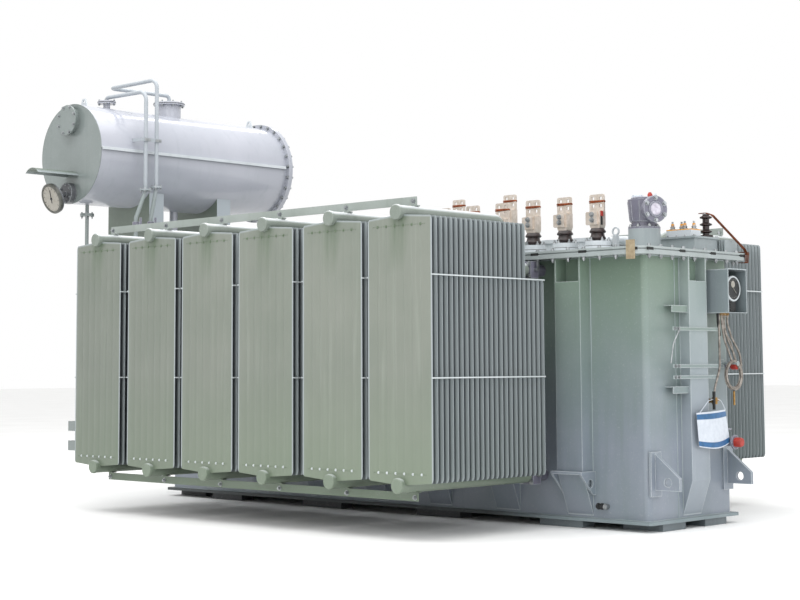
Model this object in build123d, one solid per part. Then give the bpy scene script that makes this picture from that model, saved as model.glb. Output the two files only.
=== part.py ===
from build123d import *
from copy import copy
import os
from math import cos, radians, sin, sqrt, tan

# Oil-immersed rectifier transformer, in millimetres.
# X runs along the radiator rows, +X to the cover end that carries the thermometer,
# Y runs across the tank, Z is up.
# Sizes are laid out from the ground under the middle of the tank.
# The finished nodes are moved so that the origin is the middle of the whole footprint.

# Tank and base
TANK_LENGTH = 4612.0
TANK_WIDTH = 926.0
TANK_CORNER_R = 40.0
TANK_WALL = 8.0
FOOT_HEIGHT = 45.0
BOTTOM_PLATE = 20.0
BOTTOM_OVERHANG = 34.0
BOTTOM_CORNER_CUT = 14.0
SIDE_FOOT_LENGTHS = (400.0, 345.0)
SIDE_FOOT_WIDTH = 122.0
SIDE_FOOT_PLACES_X = (570.0, 1629.5)
END_FOOT_LENGTH = 245.0
END_FOOT_WIDTH = 300.0
END_FOOT_OFFSET_Y = 232.5
SIDE_FOOT_INSET = 25.0
END_FOOT_INSET = 12.0

# Rim, gasket and cover
RIM_TOP = 1728.0
RIM_THICKNESS = 28.0
RIM_END_OVERHANG = 84.0
RIM_SIDE_OVERHANG = 137.0
RIM_CORNER_CUT = 65.0
GASKET_THICKNESS = 8.0
GASKET_INSET = 10.0
COVER_THICKNESS = 14.0

# Box stiffeners of the tank walls
PLATE = 10.0
STIFFENER_WIDTH = 200.0
STIFFENER_DEPTH_SIDE = 110.0
STIFFENER_DEPTH_END = 74.0
STIFFENER_PITCH_X = 594.0
STIFFENERS_PER_SIDE = 7
STIFFENER_SHELF_DROP = 150.0
SIDE_KNEE_Z = 360.0
END_KNEE_Z = 300.0
STIFFENER_TOE_Z = 80.0

# Jacking pads under the end stiffeners
JACK_PAD_Z = 340.0
JACK_PAD_THICKNESS = 18.0
JACK_PAD_LENGTH = 240.0
JACK_PAD_DEPTH = 150.0
JACK_GUSSET_TOE = 30.0
JACK_GUSSET_DROP = 130.0
JACK_GUSSET_THICKNESS = 14.0
JACK_HOLE_R = 25.0
JACK_HOLE_DROP = 58.0
JACK_HOLE_OUT = 55.0

# Pull lugs on the tank ends
LUG_PAD_THICKNESS = 15.0
LUG_PAD_WIDTH = 110.0
LUG_PAD_HEIGHT = 274.0
LUG_PAD_Z = 352.0
LUG_INSET = 58.0
LUG_THICKNESS = 24.0
LUG_REACH = 176.0
LUG_LOW_Z = 255.0
LUG_TIP_HEIGHT = 77.0
LUG_HEIGHT = 222.0
LUG_HOLE_R = 27.0
LUG_HOLE_REACH = 91.0
LUG_HOLE_RISE = 50.0

# Panel radiators
RADIATOR_GAPS_X = (613.0, 594.0, 581.0, 613.0, 573.5)
PANEL_COUNT = 24
PANEL_PITCH = 45.0
PANEL_THICKNESS = 12.0
PANEL_WIDTH = 522.0
PANEL_FRONT_REACH = 1349.5
PANEL_LOW_Z = 344.0
PANEL_HEIGHT = 1556.0
PANEL_GABLE = 20.0
SHORT_PANELS = 4
HEADER_LOW_Z = 322.0
HEADER_SPACING = 1611.0
HEADER_R = 44.0
HEADER_CAP_R = 47.0
HEADER_CAP_LENGTH = 14.0
HEADER_CAP_PROUD = 31.5
SPACER_HEIGHTS_Z = (955.0, 1557.0)
SPACER_BAR = 8.0
NECK_DROP_Z = 1634.0
NECK_RUN = 165.6
NECK_BEND_R = 57.2

# Butterfly valves between the headers and the tank
VALVE_LENGTH = 79.0
VALVE_SIDE = 110.0
VALVE_GAP = 0.3
VALVE_FROM_TANK = 99.0
STUB_R = 40.0

# Rails that tie the headers of a row together
RAIL_SETBACK = 130.5
RAIL_HEIGHT = 50.0
RAIL_THICKNESS = 8.0
RAIL_OVERRUN = 24.0
TOP_RAIL_GAP = 8.0
LOW_RAIL_GAP = 4.0
RAIL_FOOT_WIDTH = 40.0
RAIL_FOOT_REACH = 38.0

# Conservator, lying across the far end of the tank
CONSERVATOR_STAND_OFF = 641.0
CONSERVATOR_RISE = 1011.0
CONSERVATOR_R = 408.0
CONSERVATOR_HALF = 1028.0
CONSERVATOR_WALL = 6.0
END_RING_R = 444.0
END_RING_THICKNESS = 22.0
MANHOLE_RISE = 275.0
MANHOLE_R = 124.0
MANHOLE_NECK_R = 104.0
MANHOLE_STAND_OFF = 36.0
MANHOLE_PLATE = 14.0
PLATE_EDGE = 2.0
RIB_RISE = 23.0
RIB_REACH = 22.0
RIB_THICKNESS = 8.0
RIB_LIP = 20.0
RIB_START = 5.0
RIB_END_GAP = 68.0
DRUM_LUG_INSETS = (118.0, 136.0)
DRUM_LUG_WIDTH = 90.0
DRUM_LUG_TIP = 36.0
DRUM_LUG_RISE = 62.0
DRUM_LUG_THICKNESS = 12.0
DRUM_LUG_HOLE_R = 14.0
DRUM_LUG_HOLE_DROP = 24.0

# Conservator saddles and their brackets off the tank end
SADDLE_PLACES_Y = (-365.0, 365.0)
SADDLE_DEPTH = 150.0
SADDLE_HALF_WIDTH = 280.0
SADDLE_HORN_FALL = 291.0
SADDLE_PLATE = 12.0
BRACKET_LOW_Z = 1180.0
BRACKET_NOSE_Z = 1640.0
BRACKET_CLEARANCE = 12.0
BRACKET_RISE = 160.0

# Level gauge on the near end of the conservator
GAUGE_FALL = 325.0
GAUGE_BOSS_R = 85.0
GAUGE_BOSS_LENGTH = 50.0
GAUGE_R = 122.0
GAUGE_REACH = 150.0
GAUGE_DROP = 44.0
GAUGE_THICKNESS = 36.0
GAUGE_TILT = 20.0
GAUGE_STEM_R = 20.0
GAUGE_EDGE = 6.0
HOOD_OFFSET_X = 22.0
HOOD_LENGTH = 390.0
HOOD_WIDTH = 172.0
HOOD_RISE = 40.0
HOOD_FALL = 186.0
HOOD_SHEET = 4.0

# Necks on top of the conservator
SMALL_NECK_Y = -677.0
SMALL_NECK_R = 29.0
SMALL_FLANGE_R = 75.0
SMALL_NECK_RISE = 67.0
LARGE_NECK_Y = -18.0
LARGE_NECK_R = 102.0
LARGE_FLANGE_R = 135.0
LARGE_NECK_RISE = 123.0
NECK_FLANGE = 12.0

# Breather and gas pipes in front of the conservator
VENT_PIPE_R = 16.5
VENT_STAND_OFF = 497.0
VENT_PIPE_PLACES_Y = (-650.0, -540.0)
VENT_PIPE_RISES = (29.0, 83.0)
VENT_FLANGE_FALLS = (313.0, 283.0)
VENT_FEET_Y = (-743.0, -594.0)
VENT_FOOT_Z = 2221.0
VENT_END_Z = 1950.0
VENT_BEND_R = 75.0
VENT_TIGHT_R = 32.0
VENT_DROP_R = 20.0
VENT_FLANGE_R = 48.0
VENT_FLANGE_THICKNESS = 14.0
VENT_LOOP_REACH = 130.0
VENT_LOOP_FALL = 19.0
VENT_BAR_RISE = 89.0
VENT_BAR_HEIGHT = 30.0
VENT_BAR_THICKNESS = 8.0
VENT_BAR_OVERRUN = 60.0

# Oil pipes below the conservator
DRAIN_PIPE_R = 15.0
DRAIN_END_INSET = 165.0
DRAIN_FLANGE_FALL = 503.0
DRAIN_FLANGE_R = 57.0
DRAIN_FOOT_Z = 320.0
DRAIN_TAB_HEIGHTS_Z = (388.0, 546.0)
DRAIN_TAB_HEIGHT = 80.0
DRAIN_TAB_REACH = 198.0
DRAIN_TAB_WIDTH = 40.0
OIL_PIPE_R = 35.0
OIL_PIPE_Y = 40.0
OIL_PIPE_RUN = 900.0
OIL_PIPE_RISE = 220.0
RELAY_LENGTH = 200.0
RELAY_SIDE = 140.0

# Low-voltage bushings along the near edge of the cover
LV_COUNT = 6
LV_END_INSET = 458.0
LV_PITCH = 265.0
LV_ROW_INSET = 133.0
LV_SEAT_R = 90.0
LV_SEAT_HEIGHT = 31.0
LV_FLANGE_R = 82.5
LV_FLANGE_HEIGHT = 33.0
LV_PORCELAIN_R = 42.0
LV_SKIRT_R = 54.0
LV_PORCELAIN_HEIGHT = 84.0
LV_SKIRTS = 2
LV_CLAMP_WIDTH = 84.0
LV_CLAMP_DEPTH = 78.0
LV_CLAMP_HEIGHT = 116.0
LV_EAR_WIDTH = 34.0
LV_EAR_DEPTH = 50.0
LV_EAR_HEIGHT = 84.0
LV_PALM_WIDTH = 130.0
LV_PALM_THICKNESS = 16.0
LV_PALM_HEIGHT = 104.0
PALM_HOLE_R = 9.0
PALM_HOLE_SPACING_X = 60.0
PALM_HOLE_SPACING_Z = 48.0
PALM_HOLE_FIRST_Z = 30.0
PALM_CORNER_R = 10.0
EAR_CORNER_R = 8.0

# High-voltage bushings along the far side of the cover
HV_PLACES_X = (598.0, 104.0, -390.0)
HV_ROW_INSET = 163.0
HV_SEAT_R = 100.0
HV_SEAT_HEIGHT = 60.0
HV_PORCELAIN_R = 42.0
HV_SKIRT_R = 62.0
HV_PORCELAIN_HEIGHT = 200.0
HV_SKIRTS = 4
HV_CLAMP_HEIGHT = 139.0

# Tap changer near the right end of the cover
TAP_END_INSET = 221.0
TAP_SIDE_INSET = 313.0
TAP_TURRET_R = 103.0
TAP_TURRET_HEIGHT = 137.0
TAP_FLANGE_HEIGHT = 14.0
TAP_NECK_R = 82.0
TAP_NECK_HEIGHT = 48.0
TAP_HEAD_R = 90.0
TAP_HEAD_TOP_R = 104.0
TAP_HEAD_HEIGHT = 143.0
TAP_LID_HEIGHT = 14.0
TAP_PORT_R = 86.0
TAP_PORT_BODY_R = 66.0
TAP_PORT_REACH = 118.0
TAP_PORT_THICKNESS = 30.0
TAP_PORT_TURN = -25.0
TAP_EDGE = 4.0

# Terminal turret with its box, and the core earthing bushing
TURRET_END_INSET = 31.0
TURRET_LENGTH = 300.0
TURRET_SIDE_INSET = 33.0
TURRET_WIDTH = 290.0
TURRET_HEIGHT = 103.0
TURRET_LID = 12.0
AUX_OFFSET_X = 75.0
AUX_LENGTH = 190.0
AUX_OFFSET_Y = 8.0
AUX_WIDTH = 114.0
AUX_HEIGHT = 42.0
AUX_GASKET = 6.0
STUD_COUNT = 4
STUD_R = 10.0
STUD_HEIGHT = 40.0
STUD_ROWS = (0.35, 0.65)
EARTH_OFFSET_X = 250.0
EARTH_OFFSET_Y = 210.0
EARTH_SEAT_R = 46.0
EARTH_SEAT_HEIGHT = 14.0
EARTH_HEIGHT = 140.0
EARTH_R = 22.0
EARTH_SKIRT_R = 40.0
EARTH_SKIRTS = 3
SKIRT_STEPS = (0.3, 0.45, 0.6, 0.8)
FIN_BLOCK_END_INSET = 56.0
FIN_BLOCK_LENGTH = 120.0
FIN_BLOCK_SIDE_INSET = 23.0
FIN_BLOCK_WIDTH = 140.0
FIN_BLOCK_HEIGHT = 90.0
FIN_BLOCK_BASE = 12.0
FIN_COUNT = 7
FIN_THICKNESS = 9.0

# Thermometer hood on the tank end
THERMO_LOW_Z = 1349.0
THERMO_HEIGHT = 280.0
THERMO_SIDE_INSET = 84.0
THERMO_WIDTH = 216.0
THERMO_DEPTH = 188.0
THERMO_SHEET = 3.0
THERMO_GAP = 10.0
THERMO_FOOT_WIDTH = 60.0
THERMO_FOOT_INSET = 40.0
DIAL_R = 80.0
DIAL_DEPTH = 60.0
DIAL_SETBACK = 34.0
DIAL_RISE = 156.8
DIAL_STEM_R = 26.7
DIAL_EDGE = 5.0

# Thermometer capillary: its route from the gland, then its coil on a peg
GLAND_REACH = 84.0
GLAND_SPACING = 32.0
GLAND_COUNT = 3
GLAND_R = 11.0
GLAND_LENGTH = 20.0
CAPILLARY_R = 4.0
ARC_SHARE = 0.45
CAPILLARY_DROPS = ((0.0, 0.0), (0.0, -50.0), (19.0, -114.0), (74.0, -164.0), (95.0, -219.0))
COIL_SIDE_OFFSET = 95.0
COIL_FALL = 377.0
COIL_R = 105.0
COIL_LAYERS = 3
COIL_FLAT = 2.0
COIL_PEG_R = 6.0
COIL_PEG_REACH = 20.0
COIL_PEG_HEAD_R = 14.0
COIL_PEG_HEAD = 4.0
COIL_PEG_PLATE = 56.0
COIL_CLEARANCE = 0.3
BULB_R = 7.0
BULB_LENGTH = 90.0

# Small brackets on the tank end
SHELF_HEIGHTS_Z = (1392.0, 886.0)
SHELF_LENGTH = 170.0
SHELF_REACH = 60.0
SHELF_DROP = 44.0
SHELF_SHEET = 6.0
BAR_HEIGHTS_Z = (932.0, 1001.0, 1234.0)
BAR_LOW_Y = -290.0
BAR_HIGH_Y = 212.0
BAR_HEIGHT = 22.0
BAR_THICKNESS = 6.0

# Drain valve on the tank end
DRAIN_VALVE_INSET = 163.0
DRAIN_VALVE_Z = 525.0
DRAIN_VALVE_R = 24.0
DRAIN_VALVE_REACH = 140.0
DRAIN_VALVE_FLANGE_R = 46.0
DRAIN_VALVE_STEM_R = 11.0
DRAIN_VALVE_STEM = 78.0
DRAIN_VALVE_WHEEL_R = 36.0
DRAIN_VALVE_WHEEL = 8.0
DRAIN_VALVE_BODY = 70.0

# Values worked out from the sizes above
half_length = TANK_LENGTH / 2
half_width = TANK_WIDTH / 2
floor_z = FOOT_HEIGHT + BOTTOM_PLATE
rim_low_z = RIM_TOP - RIM_THICKNESS
cover_low_z = RIM_TOP + GASKET_THICKNESS
cover_top_z = cover_low_z + COVER_THICKNESS
header_top_z = HEADER_LOW_Z + HEADER_SPACING
radiator_span = sum(RADIATOR_GAPS_X)
radiator_count = len(RADIATOR_GAPS_X) + 1
radiator_places_x = [sum(RADIATOR_GAPS_X[:i]) - radiator_span / 2 for i in range(radiator_count)]
panel_front_y = half_width + PANEL_FRONT_REACH
panel_back_y = panel_front_y - (PANEL_COUNT - 1) * PANEL_PITCH - PANEL_THICKNESS
valve_face_y = half_width + VALVE_FROM_TANK
valve_out_y = valve_face_y + VALVE_LENGTH
stiffener_shelf_z = rim_low_z - STIFFENER_SHELF_DROP
lug_y = half_width - LUG_INSET
conservator_x = -half_length - CONSERVATOR_STAND_OFF
conservator_z = cover_top_z + CONSERVATOR_RISE
crown_z = conservator_z + CONSERVATOR_R
manhole_z = conservator_z + MANHOLE_RISE
gauge_z = conservator_z - GAUGE_FALL
hood_x = conservator_x + HOOD_OFFSET_X
hood_z = conservator_z - HOOD_FALL
saddle_horn_z = conservator_z - SADDLE_HORN_FALL
small_neck_top = crown_z + SMALL_NECK_RISE
large_neck_top = crown_z + LARGE_NECK_RISE
vent_pipe_x = conservator_x + VENT_STAND_OFF
vent_loop_x = conservator_x - VENT_LOOP_REACH
vent_tops_z = (small_neck_top + VENT_PIPE_RISES[0], large_neck_top + VENT_PIPE_RISES[1])
vent_flanges_z = [conservator_z - fall for fall in VENT_FLANGE_FALLS]
vent_bar_z = conservator_z + VENT_BAR_RISE
drain_flange_z = conservator_z - DRAIN_FLANGE_FALL
drain_pipe_y = DRAIN_END_INSET - CONSERVATOR_HALF
lv_first_x = half_length - LV_END_INSET
lv_row_y = LV_ROW_INSET - half_width
hv_row_y = half_width - HV_ROW_INSET
tap_x = half_length - TAP_END_INSET
tap_y = TAP_SIDE_INSET - half_width
turret_low_x = half_length - TURRET_END_INSET - TURRET_LENGTH
turret_low_y = half_width - TURRET_SIDE_INSET - TURRET_WIDTH
aux_low_x = turret_low_x + AUX_OFFSET_X
aux_low_y = turret_low_y + AUX_OFFSET_Y
earth_x = turret_low_x + EARTH_OFFSET_X
earth_y = turret_low_y + EARTH_OFFSET_Y
fin_block_x = half_length - FIN_BLOCK_END_INSET
fin_block_low_y = half_width - FIN_BLOCK_SIDE_INSET
thermo_low_y = half_width - THERMO_SIDE_INSET - THERMO_WIDTH
thermo_middle_y = thermo_low_y + THERMO_WIDTH / 2
drain_valve_y = half_width - DRAIN_VALVE_INSET
gland_x = half_length + THERMO_GAP + GLAND_REACH
gland_low_z = THERMO_LOW_Z - GLAND_LENGTH
coil_y = thermo_middle_y + COIL_SIDE_OFFSET
coil_z = gland_low_z - COIL_FALL
coil_inner_r = COIL_R - COIL_LAYERS * 2 * CAPILLARY_R


def block(low, high):
    """Rectangular solid between two corners."""
    size = [b - a for a, b in zip(low, high)]
    centre = [(a + b) / 2 for a, b in zip(low, high)]
    return Pos(*centre) * Box(*size)


def rod(start, end, radius):
    """Round bar or pipe solid between two points."""
    first = Vector(*start)
    line = Vector(*end) - first
    return extrude(Plane(origin=first, z_dir=line) * Circle(radius), amount=line.length)


def disc(centre, direction, radius, thickness):
    """Round plate that starts at its centre point and grows along its direction."""
    return extrude(Plane(origin=centre, z_dir=direction) * Circle(radius), amount=thickness)


def plate_xz(points, y_low, y_high):
    """Flat plate drawn in the XZ plane and standing between two Y values."""
    face = make_face(Polyline(*[(x, 0, z) for x, z in points], close=True))
    return extrude(Pos(0, y_high, 0) * face, amount=y_high - y_low, dir=(0, -1, 0))


def plate_yz(points, x_low, x_high):
    """Flat plate drawn in the YZ plane and standing between two X values."""
    face = make_face(Polyline(*[(0, y, z) for y, z in points], close=True))
    return extrude(Pos(x_low, 0, 0) * face, amount=x_high - x_low, dir=(1, 0, 0))


def cut_rectangle(length, width, cut):
    """Rectangle on the ground plane with its four corners cut off at 45 degrees."""
    outline = Rectangle(length, width)
    return chamfer(outline.vertices(), cut)


def pipe(points, bends, radius):
    """Pipe of straight runs joined by round elbows; bends lists the elbow radii."""
    corners = [Vector(*p) for p in points]
    start = corners[0]
    solids = []
    for corner, after, bend in zip(corners[1:], corners[2:], bends):
        into = (corner - start).normalized()
        onward = (after - corner).normalized()
        turn = into.get_angle(onward)
        reach = bend * tan(radians(turn / 2))
        tangent = corner - into * reach
        normal = into.cross(onward).normalized()
        middle = tangent + normal.cross(into) * bend
        solids.append(rod(start, tangent, radius))
        section = Plane(origin=tangent, z_dir=into) * Circle(radius)
        solids.append(revolve(section, axis=Axis(middle, normal), revolution_arc=turn))
        start = corner + onward * reach
    solids.append(rod(start, corners[-1], radius))
    return solids[0].fuse(*solids[1:])


def cord_tube(points, radius):
    """Tube of a free cord: each arc is as large as the two runs beside it allow."""
    corners = [Vector(*p) for p in points]
    radii = []
    for before, corner, after in zip(corners, corners[1:], corners[2:]):
        into = corner - before
        onward = after - corner
        shorter = min(into.length, onward.length)
        radii.append(ARC_SHARE * shorter / tan(radians(into.get_angle(onward) / 2)))
    path = FilletPolyline(*points, radius=radii)
    return sweep(Plane(origin=path @ 0, z_dir=path % 0) * Circle(radius), path=path)


def mirrored_ends(solids):
    """The given solids and their copies on the other end of the tank."""
    return [*solids, *[mirror(s, about=Plane.YZ) for s in solids]]


def mirrored_sides(solids):
    """The given solids and their copies on the other side of the tank."""
    return [*solids, *[mirror(s, about=Plane.XZ) for s in solids]]


def tank_shell():
    outer = RectangleRounded(TANK_LENGTH, TANK_WIDTH, TANK_CORNER_R)
    inner = RectangleRounded(
        TANK_LENGTH - 2 * TANK_WALL, TANK_WIDTH - 2 * TANK_WALL, TANK_CORNER_R - TANK_WALL
    )
    return [extrude(Pos(0, 0, floor_z) * (outer - inner), amount=RIM_TOP - floor_z)]


def tank_bottom():
    outline = cut_rectangle(
        TANK_LENGTH + 2 * BOTTOM_OVERHANG, TANK_WIDTH + 2 * BOTTOM_OVERHANG, BOTTOM_CORNER_CUT
    )
    return [extrude(Pos(0, 0, FOOT_HEIGHT) * outline, amount=BOTTOM_PLATE)]


def base_feet():
    side_y = half_width + BOTTOM_OVERHANG - SIDE_FOOT_INSET
    end_x = half_length + BOTTOM_OVERHANG - END_FOOT_INSET
    feet = []
    for x, length in zip(SIDE_FOOT_PLACES_X, SIDE_FOOT_LENGTHS):
        low = (x - length / 2, -side_y, 0)
        high = (x + length / 2, SIDE_FOOT_WIDTH - side_y, FOOT_HEIGHT)
        feet.append(block(low, high))
    feet = mirrored_sides(feet)
    for side in (-1, 1):
        low_y = side * END_FOOT_OFFSET_Y - END_FOOT_LENGTH / 2
        low = (end_x - END_FOOT_WIDTH, low_y, 0)
        feet.append(block(low, (end_x, low_y + END_FOOT_LENGTH, FOOT_HEIGHT)))
    return mirrored_ends(feet)


def rim_outline(inset):
    length = TANK_LENGTH + 2 * (RIM_END_OVERHANG - inset)
    width = TANK_WIDTH + 2 * (RIM_SIDE_OVERHANG - inset)
    return cut_rectangle(length, width, RIM_CORNER_CUT - inset * (2 - sqrt(2)))


def tank_rim():
    inner = RectangleRounded(TANK_LENGTH, TANK_WIDTH, TANK_CORNER_R)
    return [extrude(Pos(0, 0, rim_low_z) * (rim_outline(0) - inner), amount=RIM_THICKNESS)]


def rim_gasket():
    inner = RectangleRounded(TANK_LENGTH, TANK_WIDTH, TANK_CORNER_R)
    return [extrude(Pos(0, 0, RIM_TOP) * (rim_outline(GASKET_INSET) - inner), amount=GASKET_THICKNESS)]


def tank_cover():
    return [extrude(Pos(0, 0, cover_low_z) * rim_outline(0), amount=COVER_THICKNESS)]


def stiffener(depth, knee_z):
    """Box stiffener against the plane x = 0, standing out along +X, centred on y = 0."""
    half = STIFFENER_WIDTH / 2
    fall = knee_z - STIFFENER_TOE_Z
    outer = plate_xz(
        [(0, STIFFENER_TOE_Z), (depth, knee_z), (depth, stiffener_shelf_z), (0, stiffener_shelf_z)],
        -half,
        half,
    )
    rise = PLATE * sqrt(fall**2 + depth**2) / depth
    core_depth = depth - PLATE
    core_knee_z = knee_z + rise - PLATE * fall / depth
    core = plate_xz(
        [
            (0, STIFFENER_TOE_Z + rise),
            (core_depth, core_knee_z),
            (core_depth, stiffener_shelf_z - PLATE),
            (0, stiffener_shelf_z - PLATE),
        ],
        PLATE - half,
        half - PLATE,
    )
    cheek = block((0, -half, stiffener_shelf_z), (depth, PLATE - half, rim_low_z))
    other_cheek = mirror(cheek, about=Plane.XZ)
    return outer - core + cheek + other_cheek


def stiffener_envelope():
    """Space taken by a side stiffener, for parts that are cut around it."""
    half = STIFFENER_WIDTH / 2
    depth = STIFFENER_DEPTH_SIDE
    return plate_xz(
        [(0, STIFFENER_TOE_Z), (depth, SIDE_KNEE_Z), (depth, rim_low_z), (0, rim_low_z)], -half, half
    )


def side_stiffeners(side):
    body = stiffener(STIFFENER_DEPTH_SIDE, SIDE_KNEE_Z)
    first = -STIFFENER_PITCH_X * (STIFFENERS_PER_SIDE - 1) / 2
    places = [first + i * STIFFENER_PITCH_X for i in range(STIFFENERS_PER_SIDE)]
    return [Pos(x, side * half_width, 0) * Rot(0, 0, side * 90) * body for x in places]


def end_stiffeners():
    body = stiffener(STIFFENER_DEPTH_END, END_KNEE_Z)
    return mirrored_ends([Pos(half_length, 0, 0) * body])


def jacking_pads():
    place_x = STIFFENER_PITCH_X * (STIFFENERS_PER_SIDE - 1) / 2
    low_x = place_x - JACK_PAD_LENGTH / 2
    high_x = place_x + JACK_PAD_LENGTH / 2
    out_y = half_width + JACK_PAD_DEPTH
    top_z = JACK_PAD_Z + JACK_PAD_THICKNESS
    body = block((low_x, -out_y, JACK_PAD_Z), (high_x, -half_width, top_z))
    low_z = JACK_PAD_Z - JACK_GUSSET_DROP
    profile = [
        (-half_width, JACK_PAD_Z),
        (-out_y, JACK_PAD_Z),
        (-half_width - JACK_GUSSET_TOE, low_z),
        (-half_width, low_z),
    ]
    hole_y = -half_width - JACK_HOLE_OUT
    hole_z = JACK_PAD_Z - JACK_HOLE_DROP
    hole = rod((low_x - PLATE, hole_y, hole_z), (high_x + PLATE, hole_y, hole_z), JACK_HOLE_R)
    for x in (low_x, high_x - JACK_GUSSET_THICKNESS):
        body = body + (plate_yz(profile, x, x + JACK_GUSSET_THICKNESS) - hole)
    room = Pos(place_x, -half_width, 0) * Rot(0, 0, -90) * stiffener_envelope()
    return mirrored_ends(mirrored_sides([body - room]))


def pull_lugs():
    pad_x = half_length + LUG_PAD_THICKNESS
    low_y = -lug_y - LUG_PAD_WIDTH / 2
    pad = block(
        (half_length, low_y, LUG_PAD_Z - LUG_PAD_HEIGHT / 2),
        (pad_x, low_y + LUG_PAD_WIDTH, LUG_PAD_Z + LUG_PAD_HEIGHT / 2),
    )
    profile = [
        (pad_x, LUG_LOW_Z),
        (pad_x + LUG_REACH, LUG_LOW_Z),
        (pad_x + LUG_REACH, LUG_LOW_Z + LUG_TIP_HEIGHT),
        (pad_x, LUG_LOW_Z + LUG_HEIGHT),
    ]
    half = LUG_THICKNESS / 2
    tongue = plate_xz(profile, -lug_y - half, -lug_y + half)
    hole_x = pad_x + LUG_HOLE_REACH
    hole_z = LUG_LOW_Z + LUG_HOLE_RISE
    hole = rod(
        (hole_x, -lug_y - LUG_THICKNESS, hole_z),
        (hole_x, -lug_y + LUG_THICKNESS, hole_z),
        LUG_HOLE_R,
    )
    return mirrored_ends(mirrored_sides([pad + (tongue - hole)]))


def panel(low_z, high_z, notch_low, notch_high):
    """One radiator panel in the plane y = 0, growing along +Y, centred on x = 0."""
    half = PANEL_WIDTH / 2
    reach = HEADER_R * sqrt(2)

    def end(edge_z, sign, notched, header_z):
        if not notched:
            return [(half, edge_z), (-half, edge_z)]
        peak = edge_z + sign * PANEL_GABLE
        tip = header_z - sign * reach
        shoulder = abs(peak - tip)
        return [(half, edge_z), (shoulder, peak), (0, tip), (-shoulder, peak), (-half, edge_z)]

    top = end(high_z, 1, notch_high, header_top_z)
    bottom = end(low_z, -1, notch_low, HEADER_LOW_Z)
    return plate_xz(top + bottom[::-1], 0, PANEL_THICKNESS)


def neck_points():
    """Route of the upper header from its cap down to the valve on the tank."""
    last_full_y = panel_front_y - (PANEL_COUNT - SHORT_PANELS) * PANEL_PITCH
    return [
        (0, -panel_front_y - HEADER_CAP_PROUD + HEADER_CAP_LENGTH, header_top_z),
        (0, -last_full_y, header_top_z),
        (0, -last_full_y + NECK_RUN, NECK_DROP_Z),
        (0, -valve_out_y, NECK_DROP_Z),
    ]


def radiator():
    """One radiator of the front row, centred on x = 0, as separate seated solids."""
    solids = []
    full_low = PANEL_LOW_Z
    full_high = PANEL_LOW_Z + PANEL_HEIGHT
    short_high = SPACER_HEIGHTS_Z[1]
    tall = panel(full_low, full_high, True, True)
    short = panel(full_low, short_high, True, False)
    for i in range(PANEL_COUNT):
        body = short if i >= PANEL_COUNT - SHORT_PANELS else tall
        solids.append(Pos(0, -panel_front_y + i * PANEL_PITCH, 0) * body)
    cap_y = -panel_front_y - HEADER_CAP_PROUD
    upper = pipe(neck_points(), (NECK_BEND_R, NECK_BEND_R), HEADER_R)
    lower = rod((0, cap_y + HEADER_CAP_LENGTH, HEADER_LOW_Z), (0, -valve_out_y, HEADER_LOW_Z), HEADER_R)
    for header, z in ((upper, header_top_z), (lower, HEADER_LOW_Z)):
        cap = disc((0, cap_y, z), (0, 1, 0), HEADER_CAP_R, HEADER_CAP_LENGTH)
        solids.append(header + cap)
    for z in SPACER_HEIGHTS_Z:
        for side in (-1, 1):
            x = side * (PANEL_WIDTH + SPACER_BAR) / 2
            solids.append(
                block(
                    (x - SPACER_BAR / 2, -panel_front_y, z - SPACER_BAR),
                    (x + SPACER_BAR / 2, -panel_back_y, z),
                )
            )
    return solids


def radiator_valves():
    """Square butterfly valves and the tank stubs behind them, for the front row."""
    solids = []
    for x in radiator_places_x:
        for z in (NECK_DROP_Z, HEADER_LOW_Z):
            side = VALVE_SIDE / 2
            body = block(
                (x - side, -valve_out_y + VALVE_GAP, z - side), (x + side, -valve_face_y, z + side)
            )
            solids.append(body + rod((x, -valve_face_y, z), (x, -half_width, z), STUB_R))
    return solids


def header_rails():
    """Flat rails on the headers of the front row: one above, one below."""
    low_x = radiator_places_x[0] - RAIL_OVERRUN
    high_x = radiator_places_x[-1] + RAIL_OVERRUN
    y = RAIL_SETBACK - panel_front_y
    top_side = (header_top_z + HEADER_R, 1, TOP_RAIL_GAP)
    low_side = (HEADER_LOW_Z - HEADER_R, -1, LOW_RAIL_GAP)
    solids = []
    for seat_z, sign, gap in (top_side, low_side):
        near_z = seat_z + sign * gap
        far_z = near_z + sign * RAIL_HEIGHT
        rail = block((low_x, y, min(near_z, far_z)), (high_x, y + RAIL_THICKNESS, max(near_z, far_z)))
        for x in radiator_places_x:
            low_foot = (x - RAIL_FOOT_WIDTH / 2, y, min(seat_z, near_z))
            high_foot = (x + RAIL_FOOT_WIDTH / 2, y + RAIL_FOOT_REACH, max(seat_z, near_z))
            rail = rail + block(low_foot, high_foot)
        solids.append(rail)
    return solids


def conservator_shell():
    start_y = CONSERVATOR_WALL - CONSERVATOR_HALF
    axis = Plane(origin=(conservator_x, start_y, conservator_z), z_dir=(0, 1, 0))
    bore = Circle(CONSERVATOR_R - CONSERVATOR_WALL)
    length = 2 * CONSERVATOR_HALF - 2 * END_RING_THICKNESS - CONSERVATOR_WALL
    shell = extrude(axis * (Circle(CONSERVATOR_R) - bore), amount=length)
    flange = extrude(axis.offset(length) * (Circle(END_RING_R) - bore), amount=END_RING_THICKNESS)
    return [shell + flange]


def conservator_near_end():
    y = -CONSERVATOR_HALF
    plate = disc((conservator_x, y, conservator_z), (0, 1, 0), CONSERVATOR_R, CONSERVATOR_WALL)
    return [plate]


def conservator_end_cover():
    y = CONSERVATOR_HALF - END_RING_THICKNESS
    plate = disc((conservator_x, y, conservator_z), (0, 1, 0), END_RING_R, END_RING_THICKNESS)
    return [chamfer(plate.edges().group_by(Axis.Y)[-1], PLATE_EDGE)]


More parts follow.
